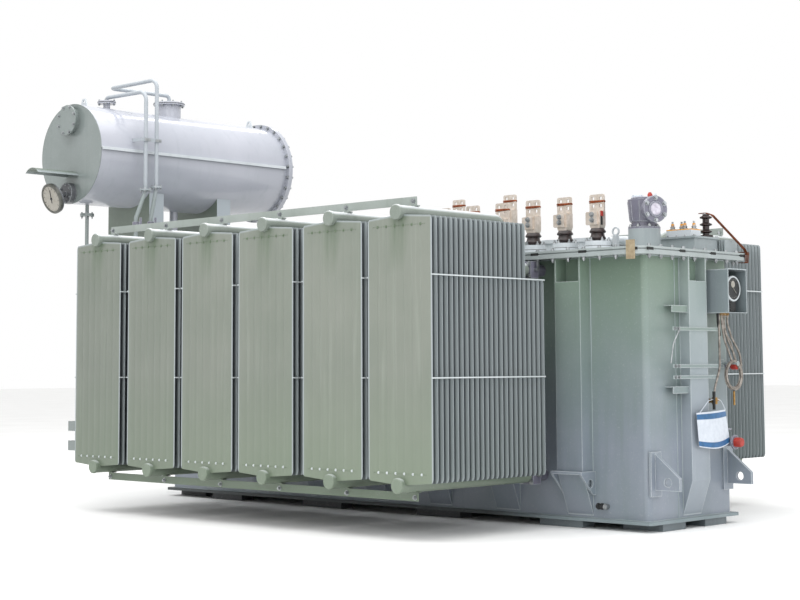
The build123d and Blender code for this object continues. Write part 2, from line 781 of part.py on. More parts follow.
def manhole():
    y = -CONSERVATOR_HALF
    neck = disc((conservator_x, y, manhole_z), (0, -1, 0), MANHOLE_NECK_R, MANHOLE_STAND_OFF)
    top = (conservator_x, y - MANHOLE_STAND_OFF, manhole_z)
    plate = disc(top, (0, -1, 0), MANHOLE_R, MANHOLE_PLATE)
    return [neck + chamfer(plate.edges(), PLATE_EDGE)]


def outside_drum(body):
    """The given solid less the space inside the conservator."""
    start = (conservator_x, -2 * CONSERVATOR_HALF, conservator_z)
    return body - rod(start, (conservator_x, 2 * CONSERVATOR_HALF, conservator_z), CONSERVATOR_R)


def conservator_rib_and_lugs():
    """Angle along the drum's inner flank, and a lifting lug near each end of its crown."""
    low_y = RIB_START - CONSERVATOR_HALF
    high_y = CONSERVATOR_HALF - RIB_END_GAP
    z = conservator_z + RIB_RISE
    out_x = conservator_x + CONSERVATOR_R + RIB_REACH
    half_leg = RIB_THICKNESS / 2
    leg = block((out_x - 2 * RIB_REACH, low_y, z - half_leg), (out_x, high_y, z + half_leg))
    lip = block((out_x - RIB_THICKNESS, low_y, z - RIB_LIP), (out_x, high_y, z))
    solids = [outside_drum(leg + lip)]
    low_z = crown_z - RIB_REACH
    top_z = crown_z + DRUM_LUG_RISE
    half = DRUM_LUG_WIDTH / 2
    tip = DRUM_LUG_TIP / 2
    outline = [
        (conservator_x - half, low_z),
        (conservator_x - half, crown_z),
        (conservator_x - tip, top_z),
        (conservator_x + tip, top_z),
        (conservator_x + half, crown_z),
        (conservator_x + half, low_z),
    ]
    near_inset, far_inset = DRUM_LUG_INSETS
    for y in (near_inset - CONSERVATOR_HALF, CONSERVATOR_HALF - far_inset):
        plate = plate_xz(outline, y, y + DRUM_LUG_THICKNESS)
        hole_z = top_z - DRUM_LUG_HOLE_DROP
        start = (conservator_x, y - DRUM_LUG_THICKNESS, hole_z)
        hole = rod(start, (conservator_x, y + 2 * DRUM_LUG_THICKNESS, hole_z), DRUM_LUG_HOLE_R)
        solids.append(outside_drum(plate - hole))
    return solids


def conservator_saddles():
    """Two box saddles on brackets that stand off the end wall of the tank."""
    wall_x = -half_length
    out_x = conservator_x - SADDLE_HALF_WIDTH
    in_x = conservator_x + SADDLE_HALF_WIDTH
    clear_x = wall_x - RIM_END_OVERHANG - BRACKET_CLEARANCE
    profile = [
        (wall_x, BRACKET_LOW_Z),
        (wall_x, rim_low_z - BRACKET_CLEARANCE),
        (clear_x, rim_low_z - BRACKET_CLEARANCE),
        (clear_x, cover_top_z + BRACKET_RISE),
        (in_x, cover_top_z + 2 * BRACKET_RISE),
        (in_x, saddle_horn_z),
        (out_x, saddle_horn_z),
        (out_x, BRACKET_NOSE_Z),
    ]
    half = SADDLE_DEPTH / 2
    outline = make_face(Polyline(*[(x, 0, z) for x, z in profile], close=True))
    inside = offset(outline, amount=-SADDLE_PLATE, kind=Kind.INTERSECTION)
    body = extrude(Pos(0, half, 0) * outline, amount=SADDLE_DEPTH, dir=(0, -1, 0))
    core_depth = SADDLE_DEPTH - 2 * SADDLE_PLATE
    core = extrude(Pos(0, core_depth / 2, 0) * inside, amount=core_depth, dir=(0, -1, 0))
    saddle = outside_drum(body - core)
    return [Pos(0, y, 0) * saddle for y in SADDLE_PLACES_Y]


def gauge_hood():
    """Arched rain hood over the level gauge, standing out from the near end."""
    half = HOOD_WIDTH / 2
    y = -CONSERVATOR_HALF - HOOD_LENGTH
    outer = ThreePointArc((-half, 0, 0), (0, 0, HOOD_RISE), (half, 0, 0))
    inner = ThreePointArc(
        (half - HOOD_SHEET, 0, 0), (0, 0, HOOD_RISE - HOOD_SHEET), (HOOD_SHEET - half, 0, 0)
    )
    lip_a = Line((half, 0, 0), (half - HOOD_SHEET, 0, 0))
    lip_b = Line((HOOD_SHEET - half, 0, 0), (-half, 0, 0))
    face = make_face([outer, lip_a, inner, lip_b])
    return [extrude(Pos(hood_x, y, hood_z) * face, amount=HOOD_LENGTH, dir=(0, 1, 0))]


def gauge_direction():
    return (0, -cos(radians(GAUGE_TILT)), -sin(radians(GAUGE_TILT)))


def gauge_back_centre():
    return (conservator_x, -CONSERVATOR_HALF - GAUGE_REACH, gauge_z - GAUGE_DROP)


def level_gauge():
    near_y = -CONSERVATOR_HALF
    boss = disc((conservator_x, near_y, gauge_z), (0, -1, 0), GAUGE_BOSS_R, GAUGE_BOSS_LENGTH)
    centre = gauge_back_centre()
    stem = rod((conservator_x, near_y - GAUGE_BOSS_LENGTH / 2, gauge_z), centre, GAUGE_STEM_R)
    dial = disc(centre, gauge_direction(), GAUGE_R, GAUGE_THICKNESS)
    return [chamfer(boss.edges(), PLATE_EDGE) + stem + chamfer(dial.edges(), GAUGE_EDGE)]


def neck(y, pipe_radius, flange_radius, top_z):
    """Vertical neck that rises from the crown of the conservator to a blanked flange."""
    flange_z = top_z - 2 * NECK_FLANGE
    foot = (conservator_x, y, conservator_z + CONSERVATOR_R / 2)
    body = rod(foot, (conservator_x, y, flange_z), pipe_radius)
    flange = disc((conservator_x, y, flange_z), (0, 0, 1), flange_radius, 2 * NECK_FLANGE)
    return outside_drum(body + chamfer(flange.edges(), PLATE_EDGE))


def conservator_necks():
    small = neck(SMALL_NECK_Y, SMALL_NECK_R, SMALL_FLANGE_R, small_neck_top)
    large = neck(LARGE_NECK_Y, LARGE_NECK_R, LARGE_FLANGE_R, large_neck_top)
    return [small, large]


def vent_pipes():
    """Two pipes that climb in front of the drum and drop onto its necks."""
    small_top, large_top = vent_tops_z
    small_y, large_y = VENT_PIPE_PLACES_Y
    small_end = [
        (vent_pipe_x, small_y, small_top),
        (conservator_x, SMALL_NECK_Y, small_top),
        (conservator_x, SMALL_NECK_Y, small_neck_top),
    ]
    large_end = [
        (vent_pipe_x, large_y, large_top),
        (vent_loop_x, large_y, large_top),
        (conservator_x, LARGE_NECK_Y, large_top - VENT_LOOP_FALL),
        (conservator_x, LARGE_NECK_Y, large_neck_top),
    ]
    small_bends = (VENT_TIGHT_R, VENT_TIGHT_R, VENT_BEND_R, VENT_DROP_R)
    large_bends = (VENT_TIGHT_R, VENT_TIGHT_R, VENT_BEND_R, VENT_TIGHT_R, VENT_TIGHT_R)
    ends = (small_end, large_end)
    solids = []
    for i, bends in enumerate((small_bends, large_bends)):
        y = VENT_PIPE_PLACES_Y[i]
        foot = [
            (vent_pipe_x, VENT_FEET_Y[i], VENT_END_Z),
            (vent_pipe_x, VENT_FEET_Y[i], VENT_FOOT_Z),
            (vent_pipe_x, y, vent_flanges_z[i]),
        ]
        flange_centre = (vent_pipe_x, y, vent_flanges_z[i])
        flange = disc(flange_centre, (0, 0, 1), VENT_FLANGE_R, VENT_FLANGE_THICKNESS)
        solids.append(pipe(foot + ends[i], bends, VENT_PIPE_R) + flange)
    return solids


def vent_bracket():
    """Bar off the side of the drum that steadies both pipes."""
    low_y = VENT_PIPE_PLACES_Y[0] - VENT_BAR_OVERRUN
    high_y = VENT_PIPE_PLACES_Y[1] + VENT_BAR_OVERRUN / 2
    bar_x = vent_pipe_x + VENT_PIPE_R
    high_z = vent_bar_z + VENT_BAR_HEIGHT
    bar = block((bar_x, low_y, vent_bar_z), (bar_x + VENT_BAR_THICKNESS, high_y, high_z))
    leg = block((conservator_x, low_y, vent_bar_z), (bar_x, low_y + VENT_BAR_THICKNESS, high_z))
    return [outside_drum(bar + leg)]


def drain_pipe():
    """Drain pipe below the drum, with two channel tabs near its foot."""
    foot = (conservator_x, drain_pipe_y, DRAIN_FOOT_Z)
    body = rod(foot, (conservator_x, drain_pipe_y, conservator_z), DRAIN_PIPE_R)
    flange_centre = (conservator_x, drain_pipe_y, drain_flange_z)
    body = body + disc(flange_centre, (0, 0, 1), DRAIN_FLANGE_R, 2 * NECK_FLANGE)
    half = DRAIN_TAB_WIDTH / 2
    for z in DRAIN_TAB_HEIGHTS_Z:
        low = (conservator_x - DRAIN_TAB_REACH, drain_pipe_y - half, z - DRAIN_TAB_HEIGHT / 2)
        tab = block(low, (conservator_x, drain_pipe_y + half, z + DRAIN_TAB_HEIGHT / 2))
        slot_low = (low[0] - PLATE, low[1] + SHELF_SHEET, low[2] + SHELF_SHEET)
        slot_high_y = drain_pipe_y + half - SHELF_SHEET
        slot = block(slot_low, (conservator_x - DRAIN_PIPE_R, slot_high_y, z + DRAIN_TAB_HEIGHT))
        body = body + (tab - slot)
    return [outside_drum(body)]


def oil_pipe():
    """Main oil pipe from the drum through the gas relay to the tank cover."""
    low_z = cover_top_z + OIL_PIPE_RISE
    end_x = conservator_x + OIL_PIPE_RUN
    points = [
        (conservator_x, OIL_PIPE_Y, conservator_z),
        (conservator_x, OIL_PIPE_Y, low_z + OIL_PIPE_R),
        (end_x, OIL_PIPE_Y, low_z),
        (end_x, OIL_PIPE_Y, cover_top_z),
    ]
    body = pipe(points, (2 * OIL_PIPE_R, 2 * OIL_PIPE_R), OIL_PIPE_R)
    middle_x = conservator_x + OIL_PIPE_RUN / 2
    relay = block(
        (middle_x - RELAY_LENGTH / 2, OIL_PIPE_Y - RELAY_SIDE / 2, low_z - RELAY_SIDE / 2),
        (middle_x + RELAY_LENGTH / 2, OIL_PIPE_Y + RELAY_SIDE / 2, low_z + RELAY_SIDE),
    )
    return [outside_drum(body + relay)]


def lv_places():
    return [(lv_first_x - i * LV_PITCH, lv_row_y) for i in range(LV_COUNT)]


def lv_seats():
    solids = []
    for x, y in lv_places():
        seat = disc((x, y, cover_top_z), (0, 0, 1), LV_SEAT_R, LV_SEAT_HEIGHT)
        top = disc((x, y, cover_top_z + LV_SEAT_HEIGHT), (0, 0, 1), LV_FLANGE_R, LV_FLANGE_HEIGHT)
        solids.append(seat + top)
    return solids


def skirted(height, radius, skirt_radius, skirts):
    """Turned porcelain body with sloping skirts, standing on the origin."""
    step = height / skirts
    under, out_low, out_high, above = SKIRT_STEPS
    outline = [(0, 0), (radius, 0)]
    for i in range(skirts):
        low = i * step
        outline.append((radius, low + step * under))
        outline.append((skirt_radius, low + step * out_low))
        outline.append((skirt_radius, low + step * out_high))
        outline.append((radius, low + step * above))
    outline.append((radius, height))
    outline.append((0, height))
    return revolve(make_face(Polyline(*[(r, 0, z) for r, z in outline], close=True)), axis=Axis.Z)


def lv_porcelains():
    base_z = cover_top_z + LV_SEAT_HEIGHT + LV_FLANGE_HEIGHT
    body = skirted(LV_PORCELAIN_HEIGHT, LV_PORCELAIN_R, LV_SKIRT_R, LV_SKIRTS)
    return [Pos(x, y, base_z) * body for x, y in lv_places()]


def terminal(clamp_height):
    """Clamp body with its bolted ear on one side and the drilled palm above."""
    half_w = LV_CLAMP_WIDTH / 2
    half_d = LV_CLAMP_DEPTH / 2
    clamp = block((-half_w, -half_d, 0), (half_w, half_d, clamp_height))
    clamp = chamfer(clamp.edges().filter_by(Axis.Z), PLATE_EDGE)
    ear_z = (clamp_height - LV_EAR_HEIGHT) / 2
    ear_low = (-half_w - LV_EAR_WIDTH, -LV_EAR_DEPTH / 2, ear_z)
    ear = block(ear_low, (-half_w, LV_EAR_DEPTH / 2, ear_z + LV_EAR_HEIGHT))
    ear = fillet(ear.edges().filter_by(Axis.Y).group_by(Axis.X)[0], EAR_CORNER_R)
    palm = block(
        (-LV_PALM_WIDTH / 2, -LV_PALM_THICKNESS / 2, clamp_height),
        (LV_PALM_WIDTH / 2, LV_PALM_THICKNESS / 2, clamp_height + LV_PALM_HEIGHT),
    )
    palm = fillet(palm.edges().filter_by(Axis.Y), PALM_CORNER_R)
    for side in (-1, 1):
        for row in (0, 1):
            x = side * PALM_HOLE_SPACING_X / 2
            z = clamp_height + PALM_HOLE_FIRST_Z + row * PALM_HOLE_SPACING_Z
            palm = palm - rod((x, -LV_PALM_THICKNESS, z), (x, LV_PALM_THICKNESS, z), PALM_HOLE_R)
    return clamp + ear + palm


def lv_terminals():
    base_z = cover_top_z + LV_SEAT_HEIGHT + LV_FLANGE_HEIGHT + LV_PORCELAIN_HEIGHT
    body = terminal(LV_CLAMP_HEIGHT)
    return [Pos(x, y, base_z) * body for x, y in lv_places()]


def hv_seats():
    return [disc((x, hv_row_y, cover_top_z), (0, 0, 1), HV_SEAT_R, HV_SEAT_HEIGHT) for x in HV_PLACES_X]


def hv_porcelains():
    body = skirted(HV_PORCELAIN_HEIGHT, HV_PORCELAIN_R, HV_SKIRT_R, HV_SKIRTS)
    return [Pos(x, hv_row_y, cover_top_z + HV_SEAT_HEIGHT) * body for x in HV_PLACES_X]


def hv_terminals():
    base_z = cover_top_z + HV_SEAT_HEIGHT + HV_PORCELAIN_HEIGHT
    body = terminal(HV_CLAMP_HEIGHT)
    return [Pos(x, hv_row_y, base_z) * body for x in HV_PLACES_X]


def tap_turret():
    centre = (tap_x, tap_y, cover_top_z)
    return [disc(centre, (0, 0, 1), TAP_TURRET_R, TAP_TURRET_HEIGHT)]


def tap_head():
    """Cast head of the tap changer: bolted neck, cone, lid and a side port."""
    neck_z = cover_top_z + TAP_TURRET_HEIGHT
    top_z = TAP_NECK_HEIGHT + TAP_HEAD_HEIGHT
    outline = [
        (0, 0),
        (TAP_TURRET_R, 0),
        (TAP_TURRET_R, TAP_FLANGE_HEIGHT),
        (TAP_NECK_R, TAP_FLANGE_HEIGHT),
        (TAP_NECK_R, TAP_NECK_HEIGHT),
        (TAP_HEAD_R, TAP_NECK_HEIGHT),
        (TAP_HEAD_TOP_R, top_z),
        (TAP_NECK_R, top_z),
        (TAP_NECK_R, top_z + TAP_LID_HEIGHT),
        (0, top_z + TAP_LID_HEIGHT),
    ]
    body = revolve(make_face(Polyline(*[(r, 0, z) for r, z in outline], close=True)), axis=Axis.Z)
    body = chamfer(body.edges().group_by(Axis.Z)[-1], TAP_EDGE)
    port_z = TAP_NECK_HEIGHT + TAP_HEAD_HEIGHT / 2
    port = rod((0, 0, port_z), (TAP_PORT_REACH, 0, port_z), TAP_PORT_BODY_R)
    plate = disc((TAP_PORT_REACH, 0, port_z), (1, 0, 0), TAP_PORT_R, TAP_PORT_THICKNESS)
    plate = chamfer(plate.edges(), TAP_EDGE)
    head = body + port + plate
    return [Pos(tap_x, tap_y, neck_z) * Rot(0, 0, TAP_PORT_TURN) * head]


def terminal_turret():
    top_z = cover_top_z + TURRET_HEIGHT
    high_x = turret_low_x + TURRET_LENGTH
    high_y = turret_low_y + TURRET_WIDTH
    body = block(
        (turret_low_x + TURRET_LID, turret_low_y + TURRET_LID, cover_top_z),
        (high_x - TURRET_LID, high_y - TURRET_LID, top_z),
    )
    lid = block((turret_low_x, turret_low_y, top_z - TURRET_LID), (high_x, high_y, top_z))
    return [body + lid]


def aux_box():
    z = cover_top_z + TURRET_HEIGHT
    high = (aux_low_x + AUX_LENGTH, aux_low_y + AUX_WIDTH, z + AUX_HEIGHT)
    return [block((aux_low_x, aux_low_y, z), high)]


def aux_studs():
    """Gasket plate on the terminal box with its staggered studs."""
    z = cover_top_z + TURRET_HEIGHT + AUX_HEIGHT
    top_z = z + AUX_GASKET
    plate = block((aux_low_x, aux_low_y, z), (aux_low_x + AUX_LENGTH, aux_low_y + AUX_WIDTH, top_z))
    step = AUX_LENGTH / STUD_COUNT
    for i in range(STUD_COUNT):
        x = aux_low_x + (i + 0.5) * step
        y = aux_low_y + AUX_WIDTH * STUD_ROWS[i % 2]
        plate = plate + rod((x, y, top_z), (x, y, top_z + STUD_HEIGHT), STUD_R)
    return [plate]


def earth_bushing():
    base_z = cover_top_z + TURRET_HEIGHT
    seat = disc((earth_x, earth_y, base_z), (0, 0, 1), EARTH_SEAT_R, EARTH_SEAT_HEIGHT)
    body = skirted(EARTH_HEIGHT, EARTH_R, EARTH_SKIRT_R, EARTH_SKIRTS)
    return [seat + Pos(earth_x, earth_y, base_z + EARTH_SEAT_HEIGHT) * body]


def fin_block():
    """Base block with upright cooling fins along it."""
    low_x = fin_block_x - FIN_BLOCK_LENGTH / 2
    high_y = fin_block_low_y + FIN_BLOCK_WIDTH
    base_z = cover_top_z + FIN_BLOCK_BASE
    body = block((low_x, fin_block_low_y, cover_top_z), (low_x + FIN_BLOCK_LENGTH, high_y, base_z))
    step = (FIN_BLOCK_LENGTH - FIN_THICKNESS) / (FIN_COUNT - 1)
    for i in range(FIN_COUNT):
        x = low_x + i * step
        top_z = cover_top_z + FIN_BLOCK_HEIGHT
        body = body + block((x, fin_block_low_y, base_z), (x + FIN_THICKNESS, high_y, top_z))
    return [body]


def thermometer_hood():
    """Folded sheet hood open to the front, on a foot, with cable glands below."""
    low_x = half_length + THERMO_GAP
    high_x = low_x + THERMO_DEPTH
    high_y = thermo_low_y + THERMO_WIDTH
    high_z = THERMO_LOW_Z + THERMO_HEIGHT
    outer = block((low_x, thermo_low_y, THERMO_LOW_Z), (high_x, high_y, high_z))
    inner = block(
        (low_x + THERMO_SHEET, thermo_low_y + THERMO_SHEET, THERMO_LOW_Z + THERMO_SHEET),
        (high_x + THERMO_SHEET, high_y - THERMO_SHEET, high_z - THERMO_SHEET),
    )
    half = THERMO_FOOT_WIDTH / 2
    foot = block(
        (half_length, thermo_middle_y - half, THERMO_LOW_Z + THERMO_FOOT_INSET),
        (low_x, thermo_middle_y + half, high_z - THERMO_FOOT_INSET),
    )
    body = outer - inner + foot
    for i in range(GLAND_COUNT):
        y = thermo_middle_y + (i - (GLAND_COUNT - 1) / 2) * GLAND_SPACING
        body = body + rod((gland_x, y, gland_low_z), (gland_x, y, THERMO_LOW_Z), GLAND_R)
    return [body]


def thermometer():
    back_x = half_length + THERMO_GAP + THERMO_SHEET
    face_x = half_length + THERMO_GAP + THERMO_DEPTH - DIAL_SETBACK
    z = THERMO_LOW_Z + DIAL_RISE
    body = disc((face_x - DIAL_DEPTH, thermo_middle_y, z), (1, 0, 0), DIAL_R, DIAL_DEPTH)
    stem = rod((back_x, thermo_middle_y, z), (face_x - DIAL_DEPTH, thermo_middle_y, z), DIAL_STEM_R)
    return [chamfer(body.edges(), DIAL_EDGE) + stem]


def capillary_tube():
    """Free run of the capillary, from its gland down to the flat on top of the coil."""
    points = [(gland_x, thermo_middle_y + dy, gland_low_z + dz) for dy, dz in CAPILLARY_DROPS]
    points.append((gland_x, coil_y, coil_z + COIL_R - COIL_FLAT))
    return [cord_tube(points, CAPILLARY_R)]


def capillary_coil():
    """Outer shape of the coiled capillary, with a flat where the tube and the bulb meet it."""
    depth = COIL_LAYERS * 2 * CAPILLARY_R
    plane = Plane(origin=(gland_x - depth / 2, coil_y, coil_z), z_dir=(1, 0, 0))
    ring = extrude(plane * (Circle(COIL_R) - Circle(coil_inner_r)), amount=depth)
    flat = COIL_R - COIL_FLAT
    low = (gland_x - depth, coil_y - COIL_R, coil_z - flat)
    return [ring & block(low, (gland_x + depth, coil_y + COIL_R, coil_z + flat))]


def capillary_bulb():
    high_z = coil_z - COIL_R + COIL_FLAT
    return [rod((gland_x, coil_y, high_z - BULB_LENGTH), (gland_x, coil_y, high_z), BULB_R)]


def coil_peg():
    """Peg on a welded plate that carries the coil."""
    z = coil_z + coil_inner_r - COIL_PEG_R - COIL_CLEARANCE
    end_x = gland_x + COIL_LAYERS * CAPILLARY_R + COIL_PEG_REACH
    half = COIL_PEG_PLATE / 2
    plate_low = (half_length, coil_y - half, z - half)
    plate = block(plate_low, (half_length + SHELF_SHEET, coil_y + half, z + half))
    peg = rod((half_length, coil_y, z), (end_x, coil_y, z), COIL_PEG_R)
    return [plate + peg + disc((end_x, coil_y, z), (1, 0, 0), COIL_PEG_HEAD_R, COIL_PEG_HEAD)]


def end_shelves():
    """Small angle shelves between the tank end and the side of its stiffener."""
    high_y = -STIFFENER_WIDTH / 2
    low_y = high_y - SHELF_LENGTH
    out_x = half_length + SHELF_REACH
    solids = []
    for z in SHELF_HEIGHTS_Z:
        top = block((half_length, low_y, z - SHELF_SHEET), (out_x, high_y, z))
        lip = block((out_x - SHELF_SHEET, low_y, z - SHELF_DROP), (out_x, high_y, z - SHELF_SHEET))
        solids.append(top + lip)
    return solids


def end_bars():
    """Flat bars across the end stiffener, welded to its face."""
    x = half_length + STIFFENER_DEPTH_END
    return [
        block((x, BAR_LOW_Y, z), (x + BAR_THICKNESS, BAR_HIGH_Y, z + BAR_HEIGHT)) for z in BAR_HEIGHTS_Z
    ]


def drain_valve():
    """Flanged drain valve with its stem and hand wheel."""
    y, z = drain_valve_y, DRAIN_VALVE_Z
    end_x = half_length + DRAIN_VALVE_REACH
    body_x = half_length + DRAIN_VALVE_BODY
    body = rod((half_length, y, z), (end_x, y, z), DRAIN_VALVE_R)
    for x in (half_length, end_x - NECK_FLANGE):
        body = body + disc((x, y, z), (1, 0, 0), DRAIN_VALVE_FLANGE_R, NECK_FLANGE)
    wheel_z = z + DRAIN_VALVE_STEM
    stem = rod((body_x, y, z), (body_x, y, wheel_z), DRAIN_VALVE_STEM_R)
    wheel = disc((body_x, y, wheel_z), (0, 0, 1), DRAIN_VALVE_WHEEL_R, DRAIN_VALVE_WHEEL)
    return [body + stem + chamfer(wheel.edges(), PLATE_EDGE)]


def build_nodes():
    nodes = {
        "tank_shell": tank_shell(),
        "tank_bottom": tank_bottom(),
        "base_feet": base_feet(),
        "tank_rim": tank_rim(),
        "rim_gasket": rim_gasket(),
        "tank_cover": tank_cover(),
        "stiffeners_front": side_stiffeners(-1),
        "stiffeners_back": side_stiffeners(1),
        "stiffeners_ends": end_stiffeners(),
        "jacking_pads": jacking_pads(),
        "pull_lugs": pull_lugs(),
        "conservator_shell": conservator_shell(),
        "conservator_near_end": conservator_near_end(),
        "conservator_end_cover": conservator_end_cover(),
        "conservator_manhole": manhole(),
        "conservator_rib_and_lugs": conservator_rib_and_lugs(),
        "conservator_saddles": conservator_saddles(),
        "conservator_necks": conservator_necks(),
        "gauge_hood": gauge_hood(),
        "level_gauge": level_gauge(),
        "vent_pipes": vent_pipes(),
        "vent_bracket": vent_bracket(),
        "conservator_drain": drain_pipe(),
        "main_oil_pipe": oil_pipe(),
        "lv_bushing_seats": lv_seats(),
        "lv_porcelains": lv_porcelains(),
        "lv_terminals": lv_terminals(),
        "tap_changer_turret": tap_turret(),
        "tap_changer_head": tap_head(),
        "hv_bushing_seats": hv_seats(),
        "hv_porcelains": hv_porcelains(),
        "hv_terminals": hv_terminals(),
        "terminal_turret": terminal_turret(),
        "aux_terminal_box": aux_box(),
        "aux_studs": aux_studs(),
        "earth_bushing": earth_bushing(),
        "ribbed_block": fin_block(),
        "thermometer_hood": thermometer_hood(),
        "thermometer": thermometer(),
        "capillary_tube": capillary_tube(),
        "capillary_coil": capillary_coil(),
        "capillary_bulb": capillary_bulb(),
        "coil_peg": coil_peg(),
        "end_shelves": end_shelves(),
        "end_bars": end_bars(),
        "drain_valve": drain_valve(),
    }
    body = radiator()
    for i, x in enumerate(radiator_places_x):
        front = [Pos(x, 0, 0) * s for s in body]
        nodes[f"radiator_front_{i + 1}"] = front
        nodes[f"radiator_back_{i + 1}"] = [mirror(s, about=Plane.XZ) for s in front]
    valves = radiator_valves()
    nodes["radiator_valves"] = mirrored_sides(valves)
    nodes["header_rails"] = mirrored_sides(header_rails())
    return nodes


def main():
    os.makedirs("parts", exist_ok=True)
    nodes = build_nodes()
    everything = Compound(children=[copy(s) for solids in nodes.values() for s in solids])
    box = everything.bounding_box()
    centred = Pos(-(box.min.X + box.max.X) / 2, -(box.min.Y + box.max.Y) / 2, 0)
    for name, solids in nodes.items():
        placed = [centred * s for s in solids]
        shape = placed[0] if len(placed) == 1 else Compound(children=placed)
        export_step(shape, f"parts/{name}.step")


if __name__ == "__main__":
    main()
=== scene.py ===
import math
from contextlib import contextmanager

import bmesh
import bpy
from mathutils import Matrix, Vector


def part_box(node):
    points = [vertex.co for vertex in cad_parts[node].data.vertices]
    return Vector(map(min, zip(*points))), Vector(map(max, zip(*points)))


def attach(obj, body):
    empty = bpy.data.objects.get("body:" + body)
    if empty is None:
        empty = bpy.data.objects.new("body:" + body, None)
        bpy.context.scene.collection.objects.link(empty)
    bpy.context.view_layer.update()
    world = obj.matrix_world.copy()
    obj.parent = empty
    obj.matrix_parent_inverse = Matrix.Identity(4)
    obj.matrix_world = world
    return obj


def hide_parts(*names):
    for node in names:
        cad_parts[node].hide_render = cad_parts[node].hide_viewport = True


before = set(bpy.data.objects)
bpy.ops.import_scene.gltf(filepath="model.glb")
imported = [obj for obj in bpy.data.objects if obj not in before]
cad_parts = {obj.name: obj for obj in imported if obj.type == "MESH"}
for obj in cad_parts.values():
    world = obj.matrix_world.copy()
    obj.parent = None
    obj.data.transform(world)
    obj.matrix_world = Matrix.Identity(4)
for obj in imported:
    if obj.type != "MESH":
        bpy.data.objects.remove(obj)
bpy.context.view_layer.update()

bl_info = {
    "name": "Rectifier transformer",
    "version": (1, 0, 0),
    "blender": (4, 5, 0),
    "location": "View3D > Sidebar > Transformer",
    "description": "Dresses the CAD frame of an oil-immersed rectifier transformer",
    "category": "Object",
}

# Sizes are millimetres throughout, and points are Vectors in metres, as at() gives them.
MM = 0.001
X, Y, Z = Vector((1, 0, 0)), Vector((0, 1, 0)), Vector((0, 0, 1))
TANK_X = sum(corner.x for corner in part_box("tank_shell")) / 2


def at(x, y, z):
    """Point from millimetres measured from the ground under the tank's middle."""
    return Vector((TANK_X + x * MM, y * MM, z * MM))


def box_mm(node):
    """Lowest and highest corners of a CAD node, in the millimetres that at() takes."""
    return [Vector(((p.x - TANK_X) / MM, p.y / MM, p.z / MM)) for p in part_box(node)]


# Settings

def linear(code):
    """Linear colour from an sRGB hex code."""
    parts = [int(code[i : i + 2], 16) / 255 for i in (1, 3, 5)]
    return (*(c / 12.92 if c <= 0.04045 else ((c + 0.055) / 1.055) ** 2.4 for c in parts), 1.0)


def length(name, millimetres, description):
    """Property for a length, kept in metres as Blender shows it."""
    return bpy.props.FloatProperty(
        name=name, description=description, default=millimetres * MM, min=MM, unit="LENGTH"
    )


def angle(name, degrees, description):
    return bpy.props.FloatProperty(
        name=name, description=description, default=math.radians(degrees), subtype="ANGLE"
    )


def power(name, watts, description):
    return bpy.props.FloatProperty(name=name, description=description, default=watts, min=0, unit="POWER")


def colour(name, code, description):
    return bpy.props.FloatVectorProperty(
        name=name, description=description, default=linear(code), size=4, min=0, max=1, subtype="COLOR"
    )


class TRANSFORMER_ColourSettings(bpy.types.PropertyGroup):
    tank: colour("Tank", "#888F9A", "Sprayed enamel of the tank wall and its stiffeners")
    cover: colour("Cover", "#A2AAAA", "Sprayed enamel of the cover and its rim")
    radiator: colour("Radiators", "#7D8279", "Flow-coated enamel of the radiator panels")
    header: colour("Headers", "#828A83", "Enamel of the radiators' header pipes")
    drum: colour("Conservator", "#B0B2BB", "Gloss enamel of the conservator's drum")
    porcelain: colour("Porcelain", "#2A1613", "Glaze of the bushings")
    copper: colour("Copper", "#A45A38", "Bare copper wire round the terminals")
    caps: colour("End caps", "#B5372B", "Plastic caps that close the open stubs")
    bands: colour("Card bands", "#2E6496", "Bands printed on the hang card")


class TRANSFORMER_TankSettings(bpy.types.PropertyGroup):
    bolt_pitch: length("Rim bolt pitch", 123.0, "Distance between bolts along the tank's rim")
    bolt_inset: length("Rim bolt inset", 30.0, "Distance of the bolts from the cover's edge")
    slot_pitch: length("Gasket gap pitch", 400.0, "Distance between the gaps where the gasket shows")
    bead: length("Weld bead radius", 4.0, "Radius of the weld beads on the tank wall")


class TRANSFORMER_RadiatorSettings(bpy.types.PropertyGroup):
    panels: bpy.props.IntProperty(
        name="Panels", default=24, min=2, max=24, description="Panels in each radiator"
    )
    short_panels: bpy.props.IntProperty(
        name="Short panels", default=4, min=0, max=24,
        description="Inner panels cut low under the header's neck",
    )
    channels: bpy.props.IntProperty(
        name="Channels", default=7, min=1, max=9, description="Swollen oil channels across a panel"
    )
    pitch: length("Panel pitch", 45.0, "Distance from one panel to the next")
    thickness: length("Panel thickness", 12.0, "Thickness of a panel over its swollen channels")
    groove: length("Groove thickness", 6.0, "Thickness of a panel between two channels")
    seam: length("Seam thickness", 3.0, "Thickness of a panel's welded edges")
    channel_pitch: length("Channel pitch", 70.0, "Distance between the middles of two channels")


class TRANSFORMER_StageSettings(bpy.types.PropertyGroup):
    camera: bpy.props.FloatVectorProperty(
        name="Camera", description="Place of the camera, measured from the ground under the tank's middle",
        default=(8.2158, -8.8916, 1.0244), size=3, subtype="TRANSLATION", unit="LENGTH",
    )
    focal: bpy.props.FloatProperty(
        name="Focal length", description="Focal length of the lens", default=74.25, min=1, unit="CAMERA"
    )
    yaw: angle("Yaw", 43.4915, "Turn of the camera about the vertical, from looking along +Y")
    pitch: angle("Pitch", 5.0417, "Tilt of the camera above the horizontal")
    roll: angle("Roll", -0.3011, "Turn of the camera about its own axis")
    overhead: power("Overhead bank", 900, "Light over the transformer")
    front: power("Front bank", 150, "Light behind the camera's left shoulder")
    right: power("Right bank", 120, "Cooler light that falls on the tank's end")
    strip: power("Drum strip", 45, "Narrow light that draws the long highlight on the drum")


# Materials

